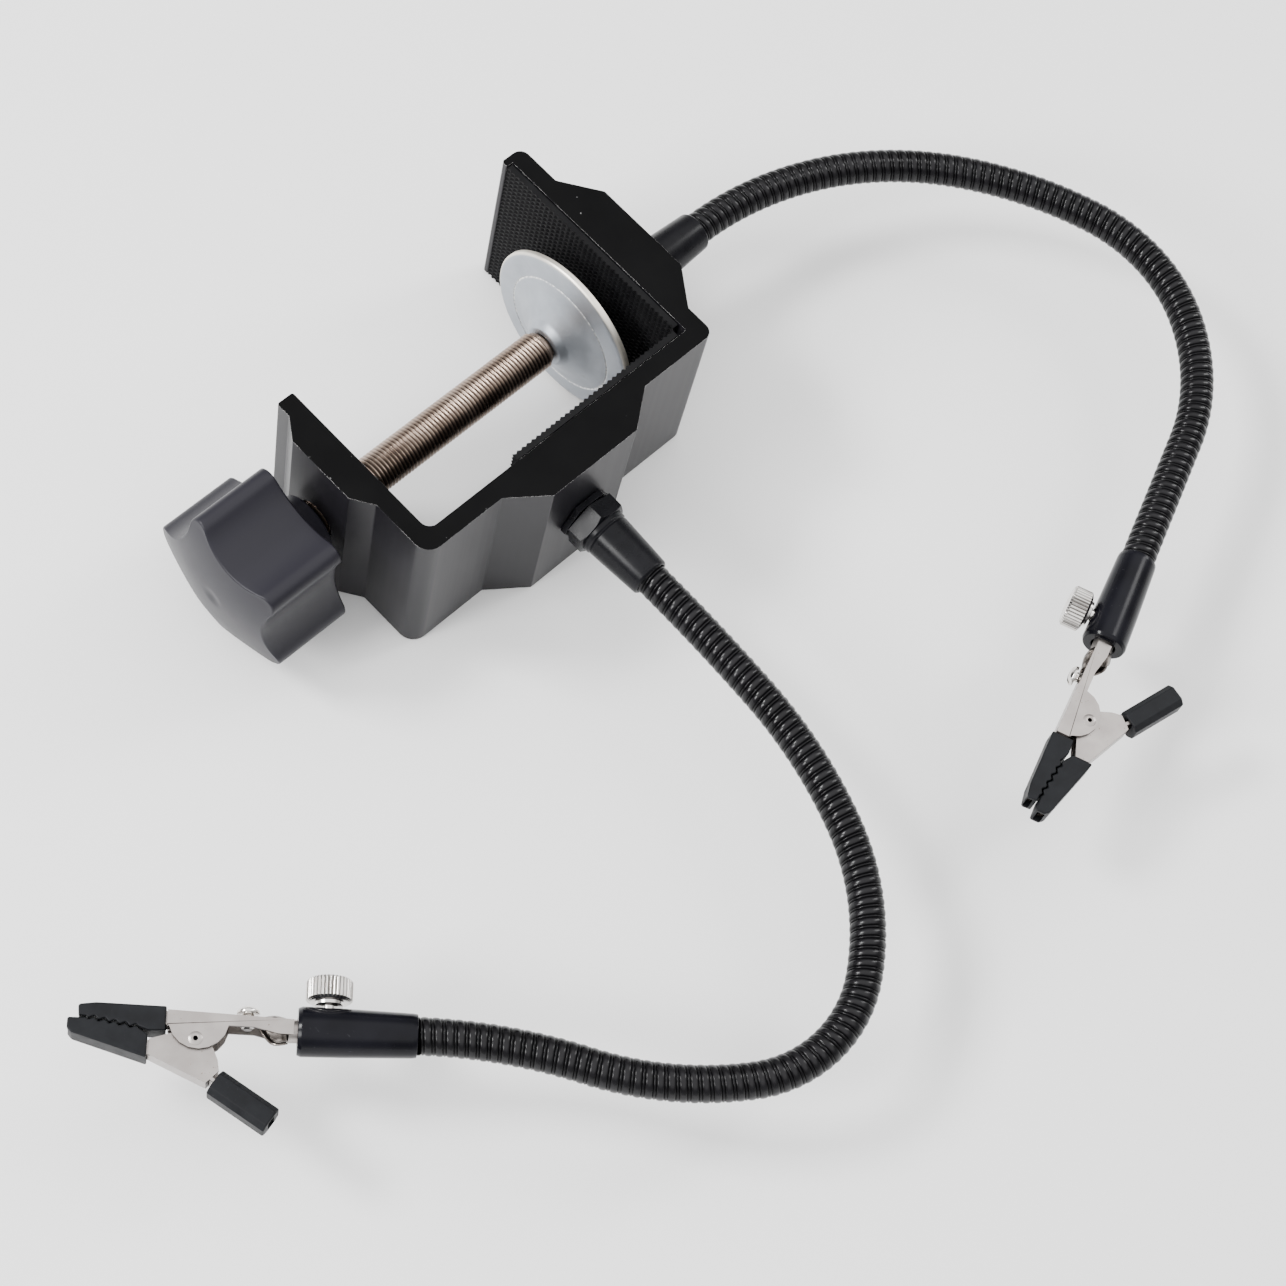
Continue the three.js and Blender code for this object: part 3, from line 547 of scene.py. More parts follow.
def crimped_steel():
    """Nickel on the folded wings, broken up: painted dark for the shade inside the fold, with painted
    highlights in its mottle.
    """
    n = Nodes("crimped_nickel")
    clouds = n.noise(1.4, detail=4)
    # painted shade inside the fold, mottled with painted highlights
    colour = n.clouded(clouds, 0.38, 0.62, (0.045, 0.037, 0.031), (0.27, 0.24, 0.22))
    return n.shaded(colour, n.ranged(clouds, 0.35, 0.65, 0.36, 0.24), 0.95, n.bump(clouds, 0.03))


def vinyl():
    """Dark blue-grey vinyl with a slight bloom and a soft uneven surface."""
    n = Nodes("dark_vinyl")
    bloom = n.noise(3.5, detail=4)
    colour = n.clouded(bloom, 0.35, 0.7, (0.0052, 0.0056, 0.0068), (0.0085, 0.0092, 0.0108))
    scuffs = n.ranged(n.noise(0.5, detail=5, roughness=0.7), 0.62, 0.72, 0, 0.07)
    colour = n.mixed(scuffs, colour, (0.2, 0.2, 0.21))
    normal = n.bump(bloom, 0.03, n.bump(n.noise(0.2), 0.006))
    return n.shaded(colour, n.ranged(bloom, 0.3, 0.7, 0.42, 0.55), 0.0, normal, specular=0.14)


FRAME_PAINT, FRAME_RIM, RUBBER, KNOB = frame_paint(), frame_rim(), rubber(), knob_plastic()
SCREW_METAL, ZINC, FITTING, HOSE = screw_metal(), zinc(), black_fitting(), hose_finish()
SLEEVE, NICKEL, CLIP_STEEL = sleeve_gloss(), bright_nickel(), clip_steel()
CLIP_RIM, CRIMPED_STEEL, VINYL = clip_rim(), crimped_steel(), vinyl()


# ---- wound surfaces: a thread or a hose, swept along a path and split into lengths ----
def wound(name, path, wave, pitch, first, last, sides, material):
    """Rows first to last of a helical surface. A row's number counts wave points from the path's start.

    path(s) gives (point, two directions across the path), all in metres; wave is (share of a pitch, radius).
    """
    points, painted_shade = [], []
    crest = max(radius for _, radius in wave)
    deep = crest - min(radius for _, radius in wave)
    for row in range(first, last + 1):
        turn, k = divmod(row, len(wave))
        share, radius = wave[k]
        for j in range(sides + 1):
            angle = 2 * math.pi * j / sides
            centre, across, above = path((turn + share + j / sides) * pitch * MM)
            points.append(centre + radius * MM * (across * math.cos(angle) + above * math.sin(angle)))
            # painted shade, deepest in the grooves between the crests
            painted_shade.append((crest - radius) / deep)
    faces = grid_faces(last - first + 1, sides + 1, closed=False)
    return made(name, points, faces, Matrix.Identity(4), material, smooth=60, painted_shade=painted_shade)


# ---- clamp frame and pads ----
def build_frame():
    obj = from_cad("clamp_frame", FRAME_PAINT, ease=0.35, rim=FRAME_RIM)
    carry(obj, "frame", "frame_black", "clamp_frame")


KNURL = 1.5  # pitch of the pads' pyramids
KNURL_DEPTH = 0.5  # from their tips to the valleys between them


def knurled_pad(node, along, across, outward):
    """A pad whose outer face is covered with pyramids. The three directions are a right-handed set."""
    low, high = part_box(node)
    length, width, thick = (abs((high - low).dot(way)) / MM for way in (along, across, outward))
    corner = middle(node) + (outward * thick - along * length - across * width) / 2 * MM
    place = local(corner, along, across)
    columns, rows = 2 * round(length / KNURL), 2 * round(width / KNURL)
    points = []
    for i in range(columns + 1):
        for j in range(rows + 1):
            peak = i % 2 == 0 and j % 2 == 0
            points.append((length * i / columns, width * j / rows, 0 if peak else -KNURL_DEPTH))
    faces = grid_faces(columns + 1, rows + 1, closed=False)
    rim = [i * (rows + 1) for i in range(columns + 1)]
    rim += [columns * (rows + 1) + j for j in range(1, rows + 1)]
    rim += [i * (rows + 1) + rows for i in range(columns - 1, -1, -1)]
    rim += list(range(rows - 1, 0, -1))
    base, count = len(points), len(rim)
    points += [(points[k][0], points[k][1], -thick) for k in rim]
    for k in range(count):
        beside = (k + 1) % count
        faces.append((rim[k], rim[beside], base + beside, base + k))
    faces.append(tuple(range(base, base + count)))
    pad = made(f"{node}_look", points, faces, place, RUBBER, smooth=20)
    carry(pad, "frame", "pad_rubber", node)


def build_pads():
    knurled_pad("jaw_pad", along=UP, across=AHEAD, outward=-RIGHT)
    knurled_pad("spine_pad", along=UP, across=RIGHT, outward=AHEAD)


# ---- pressure disc, screw and knob ----
THREAD_RADIUS = 4.9
THREAD_DEPTH = 0.55
THREAD_PITCH = 1.0
KNOB_NECK = 3.2  # radius of the screw between the knob and the thread
DISC_NECK = 2.9  # radius of the screw between the thread and its ball
BALL_RADIUS = 3.9
BALL_CENTRE = along_screw(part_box("clamp_screw")[1].x) - BALL_RADIUS
SOCKET_RADIUS = BALL_RADIUS + 0.15
SOCKET_MOUTH = 3.3
DISC_PLATE = 1.5  # thickness of the disc at its rim


def ball_profile(radius, angles):
    """Points of (x, radius) on a ball about the centre of the screw's end, at angles from its tip."""
    return [(BALL_CENTRE + radius * math.cos(a), radius * math.sin(a)) for a in angles]


def build_disc():
    """A dished disc: the ball's socket, the collar, the cone to the stepped rim, and the hollow front."""
    low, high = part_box("pressure_disc")
    front, collar = along_screw(high.x), along_screw(low.x)
    rim = (high.z - low.z) / 2 / MM
    back = front - DISC_PLATE
    mouth = math.pi - math.asin(SOCKET_MOUTH / SOCKET_RADIUS)
    cup = ball_profile(SOCKET_RADIUS, np.linspace(0, mouth, 10))
    profile = [
        (collar + 0.6, SOCKET_MOUTH),
        (collar, 3.5, 0.2),
        (collar, 5.2, 0.9),
        (collar + 1.6, 6.9, 4),
        (back - 1.9, 12.2, 14),
        (back - 0.9, 15.7, 0.4),
        (back - 0.72, 15.95, 0.1),
        (back - 0.92, 16.2, 0.1),
        (back - 0.35, rim - 0.9, 4),
        (back - 0.05, rim - 0.25, 0.3),
        (back + 0.35, rim, 0.2),
        (front - 0.2, rim, 0.15),
        (front, rim - 0.25, 0.1),
        (front, 16.6, 0.3),
        (front - 1.6, 14.6, 0.4),
        (front - 1.6, 7.5, 0.6),
        (front, 6, 0.3),
        (front, 1.2, 0.2),
        (front - 0.25, 0),
    ]
    profile = cup + eased(profile, steps=5)
    disc = revolved("pressure_disc_look", profile, SCREW_PLACE, ZINC, sides=144)
    carry(disc, "disc", "disc_zinc", "pressure_disc")


def build_screw():
    """The wound thread, and the core that fills it and carries the ball."""
    start = along_screw(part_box("clamp_screw")[0].x)
    thread_start = along_screw(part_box("clamp_frame")[0].x)
    thread_end = along_screw(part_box("pressure_disc")[0].x) - 0.2
    root = THREAD_RADIUS - THREAD_DEPTH
    shoulder = THREAD_RADIUS - 0.03
    wave = [(0.0, root), (0.12, root), (0.42, shoulder), (0.5, THREAD_RADIUS), (0.58, shoulder), (0.88, root)]

    def path(s):
        return SCREW_LINE + Vector((thread_start * MM + s, 0, 0)), AHEAD, UP

    turns = math.floor((thread_end - thread_start) / THREAD_PITCH) - 1
    rows = turns * len(wave)
    thread = wound("clamp_screw_thread", path, wave, THREAD_PITCH, 0, rows, 48, SCREW_METAL)
    carry(thread, "screw", "screw_steel", "clamp_screw")

    filling = root - 0.02
    profile = eased([
        (start, 0),
        (start, KNOB_NECK, 0.3),
        (thread_start - 0.8, KNOB_NECK),
        (thread_start, filling),
        (thread_end - 0.8, filling, 0.2),
        (thread_end, 3.6, 0.2),
        (thread_end + 0.6, DISC_NECK, 0.3),
        (BALL_CENTRE - 2.6, DISC_NECK),
    ])
    profile += ball_profile(BALL_RADIUS, np.linspace(2.3, 0, 14))

    def in_shadow(x, r):
        return float(x < thread_start)

    core = revolved("clamp_screw_core", profile, SCREW_PLACE, SCREW_METAL, sides=48, dark=in_shadow)
    carry(core, "screw", "screw_steel")


KNOB_LOBES = 5
KNOB_TIP = 21.4  # radius to the tips of the lobes
KNOB_VALLEY = 15.0  # radius to the hollows between them
KNOB_LOBE = 3.0  # radius of each lobe's own arc
KNOB_TURN = math.radians(-80)
KNOB_DOME = 3.6  # rise of the front face
KNOB_LENGTH = 20.0
KNOB_EASE = 0.6
KNOB_SIDES = 360
DIMPLE_RADIUS = 3.4
DIMPLE_DEPTH = 0.35


def knob_reach(angle):
    """Radius of the knob's outline: round lobes joined by hollow arcs that touch them."""
    half = math.pi / KNOB_LOBES
    centre = KNOB_TIP - KNOB_LOBE
    along = centre * math.cos(half)
    hollow = KNOB_VALLEY**2 + centre**2 - 2 * KNOB_VALLEY * along - KNOB_LOBE**2
    hollow /= 2 * (KNOB_LOBE - KNOB_VALLEY + along)
    far = KNOB_VALLEY + hollow
    turn = half + math.atan2(centre * math.sin(half), far - along)
    meet = math.atan2(KNOB_LOBE * math.sin(turn), centre + KNOB_LOBE * math.cos(turn))
    off = abs((angle - KNOB_TURN + half) % (2 * half) - half)
    if off <= meet:
        return centre * math.cos(off) + math.sqrt(KNOB_LOBE**2 - (centre * math.sin(off)) ** 2)
    return far * math.cos(half - off) - math.sqrt(hollow**2 - (far * math.sin(half - off)) ** 2)


def build_knob():
    """Rings of (x, radius) from the dimple in the front dome round to the hub's bore."""
    low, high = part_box("knob")
    front, hub_end = along_screw(low.x), along_screw(high.x)
    rear = front + KNOB_DOME + KNOB_LENGTH
    ball = (KNOB_TIP**2 + KNOB_DOME**2) / (2 * KNOB_DOME)
    inner = DIMPLE_RADIUS * 1.1
    ease = KNOB_EASE

    def dome(r):
        dip = DIMPLE_DEPTH * (0.5 + 0.5 * math.cos(math.pi * min(r / DIMPLE_RADIUS, 1)))
        return front + ball - math.sqrt(ball**2 - r * r) + dip

    def on_dome(r):
        return dome(r), r

    angles = [2 * math.pi * j / KNOB_SIDES for j in range(KNOB_SIDES)]
    reach = [knob_reach(a) for a in angles]
    rows = []
    for r in np.linspace(0, inner, 7):
        rows.append([on_dome(r) for _ in reach])
    for share in np.linspace(0.06, 1, 12):
        rows.append([on_dome(inner + (R - ease - inner) * share) for R in reach])
    tops = [dome(R - ease) for R in reach]
    for a in quarter(4)[1:]:
        lift, out = ease * (1 - math.cos(a)), ease * math.sin(a)
        rows.append([(top + lift, R - ease + out) for top, R in zip(tops, reach)])
    for share in (0.08, 0.92, 1.0):
        rows.append([(top + ease + (rear - ease - top - ease) * share, R) for top, R in zip(tops, reach)])
    for a in quarter(4)[1:]:
        rows.append([(rear - ease * (1 - math.sin(a)), R - ease * (1 - math.cos(a))) for R in reach])
    hub = [
        (rear, 12.5),
        (rear, 12, 0.2),
        (rear - 1.4, 11.6, 0.4),
        (rear - 1.4, 8.4, 0.5),
        (hub_end, 8, 0.5),
        (hub_end, 5.3, 0.2),
        (hub_end - 8, 5.2),
    ]
    for x, r in eased(hub):
        rows.append([(x, r) for _ in reach])
    points = [(x, r * math.cos(a), r * math.sin(a)) for row in rows for (x, r), a in zip(row, angles)]
    knob = made("knob_look", points, grid_faces(len(rows), KNOB_SIDES), SCREW_PLACE, KNOB, smooth=35)
    carry(knob, "screw", "knob_plastic", "knob")


# ---- arms: nut, fitting, hose, end sleeve and thumbscrew ----
HEX_FLATS = 13.0
HEX_START, HEX_END = 2.1, 6.8  # from the boss
NUT_START, NUT_END = 0.3, 1.8
HEX_TURN = math.radians(10)
NUT_TURN = math.radians(30)
HEX_CHAMFER = math.radians(32)
FITTING_LENGTH = 23.3
BEAD_PITCH = 2.4
HOSE_SIDES = 28
# One turn of the hose as (share of the pitch, radius): the round wire, a groove, the thin wire, a groove.
BEAD = [
    (0.00, 3.83), (0.03, 3.94), (0.09, 4.04), (0.20, 4.115),
    (0.34, 4.14), (0.48, 4.115), (0.59, 4.04), (0.65, 3.94),
    (0.685, 3.83), (0.72, 3.83), (0.75, 3.93), (0.80, 4.01),
    (0.85, 4.03), (0.90, 4.01), (0.945, 3.93), (0.97, 3.83),
]


def hexagon(flats, turn):
    """Corners of a hexagon in local XY, counter-clockwise."""
    corner = flats / math.sqrt(3)
    angles = [turn + math.pi / 3 * k for k in range(6)]
    return [(corner * math.cos(a), corner * math.sin(a)) for a in angles]


def hexed(name, start, end, chamfer, turn, place):
    """A hexagonal collar along local X, its corners turned off at the ends given in chamfer."""
    half = (end - start) / 2
    upright = Matrix.Translation(((start + end) / 2, 0, 0)) @ Matrix.Rotation(math.radians(90), 4, "Y")
    collar = prism(name, hexagon(HEX_FLATS, turn), half, 0.12, place @ upright, FITTING)
    full, low = HEX_FLATS / math.sqrt(3) + 0.2, HEX_FLATS / 2 - 0.15
    fall = (full - low) * math.tan(HEX_CHAMFER)
    profile = [
        (start - 0.1, 0),
        (start - 0.1, low if chamfer[0] else full),
        (start + (fall if chamfer[0] else 0.3), full),
        (end - (fall if chamfer[1] else 0.3), full),
        (end + 0.1, low if chamfer[1] else full),
        (end + 0.1, 0),
    ]
    return cut(collar, revolved("turning", profile, place, FITTING, sides=96), operation="INTERSECT")


def build_base(arm, place):
    """Lock nut, hexagon and tapered sleeve, along local X from the boss."""
    nut = hexed(f"{arm}_lock_nut_look", NUT_START, NUT_END, (False, False), NUT_TURN, place)
    carry(nut, "frame", "fitting_black", f"{arm}_lock_nut")
    collar = hexed(f"{arm}_base_fitting_look", HEX_START, HEX_END, (False, True), HEX_TURN, place)
    carry(collar, "frame", "fitting_black", f"{arm}_base_fitting")
    profile = eased([
        (5.5, 0), (5.5, 6.0), (7.9, 6.05, 0.4), (8.3, 5.55, 0.3), (8.7, 5.8, 0.3),
        (18, 5.3, 9), (22.5, 5.02, 0.5), (23.0, 4.6, 0.25), (22.9, 4.26, 0.1),
        (21.5, 4.2), (21.5, 0),
    ], steps=4)
    sleeve = revolved(f"{arm}_base_sleeve", profile, place, FITTING, sides=80)
    carry(sleeve, "frame", "fitting_black")


class HosePath:
    """Centreline of a hose: level arcs from the fitting through the bending points to the sleeve."""

    def __init__(self, start, direction, stops):
        self.arcs = []
        self.length = 0.0
        for stop in stops:
            chord = stop - start
            turn = 2 * direction.xy.angle_signed(chord.xy) * -1
            span = chord.length if abs(turn) < 1e-6 else chord.length * (turn / 2) / math.sin(turn / 2)
            self.arcs.append((self.length, span, start.copy(), direction.copy(), turn))
            self.length += span
            direction = Matrix.Rotation(turn, 3, "Z") @ direction
            start = stop
        self.end_direction = direction

    def __call__(self, s):
        """Point, level direction across the hose, and up, s metres from the start; straight past the ends."""
        begin, span, start, direction, turn = next(
            (a for a in reversed(self.arcs) if s >= a[0]), self.arcs[0]
        )
        share = (s - begin) / span
        side = UP.cross(direction)
        if abs(turn) < 1e-6:
            point = start + direction * (s - begin)
        elif share < 0 or (share > 1 and begin + span >= self.length - 1e-9):
            edge = 0.0 if share < 0 else 1.0
            base, tangent_side, _ = self.__call__(begin + span * edge * 0.999999)
            return base + tangent_side.cross(UP) * ((share - edge) * span), tangent_side, UP
        else:
            radius = span / turn
            ahead, aside = radius * math.sin(turn * share), radius * (1 - math.cos(turn * share))
            point = start + direction * ahead + side * aside
        return point, Matrix.Rotation(turn * share, 3, "Z") @ side, UP


def build_hose(arm, start, direction):
    stops = [pivot(f"{arm}_bend_{k}") for k in range(1, 6)] + [pivot(f"{arm}_clip_swivel")]
    path = HosePath(start, direction, stops)
    count = len(BEAD)
    hidden = 1  # turn inside the fitting
    middles = [(path.arcs[k][0] + path.arcs[k][1] / 2) / (BEAD_PITCH * MM) for k in range(1, 5)]
    turns = [-hidden, *(round(m) for m in middles), round(path.length / (BEAD_PITCH * MM)) + hidden - 1]
    for k in range(5):
        name = f"{arm}_hose_length_{k + 1}"
        hose = wound(name, path, BEAD, BEAD_PITCH, turns[k] * count, turns[k + 1] * count, HOSE_SIDES, HOSE)
        _, across, _ = path(path.arcs[k + 1][0])
        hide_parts(*([f"{arm}_hose_1", f"{arm}_hose_2"] if k == 0 else [f"{arm}_hose_{k + 2}"]))
        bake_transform(hose)
    return path


SLEEVE_LENGTH = 25.5
THUMB_FROM_END = 6.4
THUMB_HOLE = 1.9  # radius


def build_sleeve(arm, place):
    """The gloss sleeve on the hose's end, bored for the clip's tail and drilled for the thumbscrew."""
    end = SLEEVE_LENGTH
    profile = eased([
        (0.6, 4.25), (0.3, 4.3, 0.1), (0.35, 4.62, 0.2), (1.4, 4.75, 0.5), (15.5, 5.16, 8),
        (24.6, 5.3, 0.4), (end, 4.95, 0.2), (end, 3.1, 0.15), (end - 0.3, 2.9, 0.1),
        (13, 2.9, 0.2), (13, 0),
    ])
    sleeve = revolved(f"{arm}_end_sleeve_look", profile, place, SLEEVE, sides=72)
    across = Matrix.Translation((end - THUMB_FROM_END, 0, 0)) @ Matrix.Rotation(math.radians(90), 4, "Z")
    drill = [(-9, 0), (-9, THUMB_HOLE), (0, THUMB_HOLE), (0, 0)]
    cut(sleeve, revolved("hole", drill, place @ across, SLEEVE, sides=32))
    carry(sleeve, f"{arm}_link_6", "sleeve_black", f"{arm}_end_sleeve")


THUMB_RADIUS = 5.0
THUMB_STEM = 3.7  # length
THUMB_TEETH = 36
THUMB_TOOTH = 0.34  # height


def build_thumbscrew(arm):
    outward = axis(f"{arm}_thumbscrew_turn")
    place = local(pivot(f"{arm}_thumbscrew_turn"), outward, axis(f"{arm}_clip_swivel"))
    head = THUMB_STEM

    def knurled(x, r, angle):
        if r < THUMB_RADIUS - 0.7:
            return r
        wave = abs((angle * THUMB_TEETH / (2 * math.pi)) % 1 - 0.5) * 2
        return min(r, THUMB_RADIUS - THUMB_TOOTH * (1 - wave) ** 1.5)

    profile = eased([
        (0, 0), (0, 1.1, 0.2), (0.5, 1.5, 0.1), (head - 0.8, 1.5, 0.2), (head - 0.8, 3.0, 0.2),
        (head, 3.2, 0.2), (head, THUMB_RADIUS - 0.9, 0.2), (head + 0.55, THUMB_RADIUS),
        (head + 4.4, THUMB_RADIUS), (head + 5, THUMB_RADIUS - 0.65, 0.2), (head + 5, 3.2, 0.3),
        (head + 4.75, 2.7, 0.3), (head + 4.75, 0),
    ], steps=3)
    name = f"{arm}_thumbscrew_look"
    screw = revolved(name, profile, place, NICKEL, sides=THUMB_TEETH * 6, radius=knurled, smooth=32)
    carry(screw, f"{arm}_thumb", "bright_nickel", f"{arm}_thumbscrew")


# ---- alligator clip, in the clip's own frame: +X to the tips, +Y towards the thumbscrew ----
SHEET = 0.65  # thickness of the jaws' steel
JAW_EASE = 0.24
BOOT_HALF = 3.0
BOOT_EASE = 0.33  # less than the sharpest curve of the teeth
BOOT_POCKET = 2.2
TOOTH_PITCH = 2.2
TOOTH_HEIGHT = 0.3
TOOTH_STEPS = 10


def teeth(start, end, side):
    """A wavy line of teeth between two points."""
    start, end = np.array(start, float), np.array(end, float)
    length = np.linalg.norm(end - start)
    along = (end - start) / length
    across = np.array([-along[1], along[0]]) * side
    steps = round(length / TOOTH_PITCH) * TOOTH_STEPS
    line = []
    for i in range(steps + 1):
        height = TOOTH_HEIGHT * math.sin(2 * math.pi * i / TOOTH_STEPS)
        line.append(tuple(start + (end - start) * i / steps + across * height))
    return line


def boot(name, outer, pocket, place):
    """A dipped vinyl boot: a toothed block hollowed for the jaw inside it."""
    body = prism(name, eased(outer, closed=True), BOOT_HALF, BOOT_EASE, place, VINYL, steps=4)
    return cut(body, prism("pocket", eased(pocket, closed=True), BOOT_POCKET, 0.3, place, VINYL))


def build_boots(arm, place, x, y):
    """Both boots, in millimetres from the rivet at x, y."""
    upper = [
        (x + 6.3, y + 1.6, 0.3), (x + 9.8, y + 1.5, 0.8),
        *teeth((x + 11.9, y + 2.3), (x + 22.7, y + 4.15), 1),
        (x + 24.3, y + 4.2, 0.35), (x + 24.5, y + 6.6, 0.6),
        (x + 20.8, y + 7.1, 1.5), (x + 6.3, y + 6.8, 0.3),
    ]
    pocket = [
        (x + 5, y + 2.6), (x + 12, y + 3.1), (x + 26, y + 5.3),
        (x + 26, y + 6.3), (x + 20.6, y + 6.65), (x + 5, y + 6.35),
    ]
    body = boot(f"{arm}_clip_upper_boot_look", upper, pocket, place)
    carry(body, f"{arm}_clip", "boot_vinyl", f"{arm}_clip_upper_boot")
    lower = [
        (x + 9.9, y - 4.4, 0.3), (x + 25.6, y + 0.5, 1.2), (x + 26.5, y + 1.5, 0.6), (x + 26.5, y + 3.7, 0.4),
        *teeth((x + 22.7, y + 3.75), (x + 11.9, y + 1.9), 1),
        (x + 9.9, y + 0.6, 0.35),
    ]
    pocket = [
        (x + 8.5, y - 4.3), (x + 28, y + 1.85), (x + 28, y + 3.4), (x + 12, y + 0.5), (x + 8.5, y + 0.1),
    ]
    body = boot(f"{arm}_clip_lower_boot_look", lower, pocket, place)
    carry(body, f"{arm}_clip_lower", "boot_vinyl", f"{arm}_clip_lower_boot")


GRIP_START, GRIP_LENGTH = 0.9, 15.4
GRIP_HALF, GRIP_SIDE = 2.9, 3.1
GRIP_BEVEL = 1.2
GRIP_EASE = 0.4
GRIP_ANGLE = math.radians(213)
HANDLE_BACK, HANDLE_DOWN = 3.6, 8.2  # from the rivet to the handle's root
RIB_PITCH = 1.1


def build_grip(arm, place, x, y):
    """The vinyl tube on the handle, along its own X, ribbed on the side away from the clip's opening."""
    root = Matrix.Translation((x - HANDLE_BACK, y - HANDLE_DOWN, 0))
    turned = place @ root @ Matrix.Rotation(GRIP_ANGLE, 4, "Z")
    half, side = GRIP_HALF, GRIP_SIDE
    flank, face = side - GRIP_BEVEL, half - GRIP_BEVEL
    ribs = []
    for k in (1, 0, -1):
        v = RIB_PITCH * k
        ribs += [(-half, v + 0.4), (-half + 0.25, v + 0.25), (-half + 0.25, v - 0.25), (-half, v - 0.4)]
    section = [
        (-half, -flank, 0.25), (-face, -side, 0.35), (face, -side, 0.35), (half, -flank, 0.25),
        (half, flank, 0.25), (face, side, 0.35), (-face, side, 0.35), (-half, flank, 0.25),
        *ribs,
    ]
    outline = np.array(eased(section, closed=True))
    levels = []
    for a in quarter(3):
        levels.append((GRIP_START + GRIP_EASE * (1 - math.cos(a)), GRIP_EASE * (1 - math.sin(a))))
    levels += [(GRIP_LENGTH + GRIP_START - at, rim) for at, rim in reversed(levels)]
    rows = [(at, u, v) for at, rim in levels for u, v in inset(outline, rim)]
    count = len(outline)
    faces = grid_faces(len(levels), count)
    faces += [tuple(range(count)), tuple(range(len(rows) - count, len(rows)))]
    grip = made(f"{arm}_clip_grip_look", rows, faces, turned, VINYL, smooth=30)
    slot = eased([(-3, -1.1, 0.5), (18, -1.1, 0.5), (18, 1.1, 0.5), (-3, 1.1, 0.5)], closed=True)
    cut(grip, prism("slot", slot, 2.45, 0.4, turned, VINYL))
    carry(grip, f"{arm}_clip_lower", "boot_vinyl", f"{arm}_clip_grip")


CRIMP_START, CRIMP_LENGTH = 1.9, 6.6
CRIMP_WRAP = 158.0  # degrees to each side of the web
CRIMP_TAPER = 4.5  # where the wings begin to open out


def build_crimp(arm, place):
    """The wings of the tail, folded round under the web."""
    columns, rows = 17, 12
    points = []
    for i in range(rows):
        x = CRIMP_START + CRIMP_LENGTH * i / (rows - 1)
        opened = 100 * (max(x - CRIMP_TAPER, 0) / 4.0) ** 1.3
        wrap = math.radians(CRIMP_WRAP - opened)
        radius = 2.35 + 0.55 * math.sin(math.pi * min(i / (rows - 3), 1))
        centre = -0.25 + 0.05 * x
        for j in range(columns):
            a = wrap * (2 * j / (columns - 1) - 1)
            points.append((x, centre + radius * math.cos(a), radius * math.sin(a)))
    faces = grid_faces(rows, columns, closed=False)
    wings = made(f"{arm}_clip_crimp", points, faces, place, CRIMPED_STEEL, smooth=60)
    wings.data.materials.append(CLIP_RIM)
    thick = wings.modifiers.new("sheet", "SOLIDIFY")
    thick.thickness = 0.5 * MM
    thick.offset = 0
    thick.material_offset = 1
    carry(wings, f"{arm}_clip", "clip_steel")


WIRE = 0.35  # radius
WIRE_SIDES = 12
SPRING_TURNS = 3.25
SPRING_STEPS = 26  # in each turn
SPRING_RADIUS = 1.85
SPRING_HALF = 1.25  # of the coil's width


def wire(name, points, place):
    """A round nickel wire through points in a local frame."""
    points = [Vector(p) for p in points]
    rows, reference = [], None
    for i, p in enumerate(points):
        tangent = (points[min(i + 1, len(points) - 1)] - points[max(i - 1, 0)]).normalized()
        if reference is None:
            reference = tangent.orthogonal().normalized()
        reference = (reference - tangent * reference.dot(tangent)).normalized()
        other = tangent.cross(reference)
        for j in range(WIRE_SIDES):
            a = 2 * math.pi * j / WIRE_SIDES
            rows.append(p + WIRE * (reference * math.cos(a) + other * math.sin(a)))
    faces = grid_faces(len(points), WIRE_SIDES)
    faces.append(tuple(range(WIRE_SIDES)))
    faces.append(tuple(range(len(rows) - WIRE_SIDES, len(rows))))
    return made(name, rows, faces, place, NICKEL, smooth=60)


def build_spring(arm, place, x, y):
    """Torsion spring round the rivet: coil and upper leg on one jaw, lower leg on the other."""
    count = round(SPRING_TURNS * SPRING_STEPS)
    coil = [(x - 6.2, y + 3.4, -SPRING_HALF)]
    for i in range(count + 1):
        a = math.radians(150) - 2 * math.pi * i / SPRING_STEPS
        z = -SPRING_HALF + 2 * SPRING_HALF * i / (SPRING_TURNS * SPRING_STEPS)
        coil.append((x + SPRING_RADIUS * math.cos(a), y + SPRING_RADIUS * math.sin(a), z))
    obj = wire(f"{arm}_clip_spring_coil", coil, place)
    carry(obj, f"{arm}_clip", "bright_nickel", f"{arm}_clip_spring")
    leg = [(x - 1.1, y - 1.5, SPRING_HALF), (x - 2.2, y - 3.8, SPRING_HALF), (x - 3.2, y - 6.0, 1.2)]
    obj = wire(f"{arm}_clip_spring_leg", leg, place)
    carry(obj, f"{arm}_clip_lower", "bright_nickel")


RIVET_HALF = 3.2
RIVET_HOLE = 0.45
SCREW_WEB = 3.9  # from the tail's axis to the binding screw's head
SHANK_RIDGES = 6


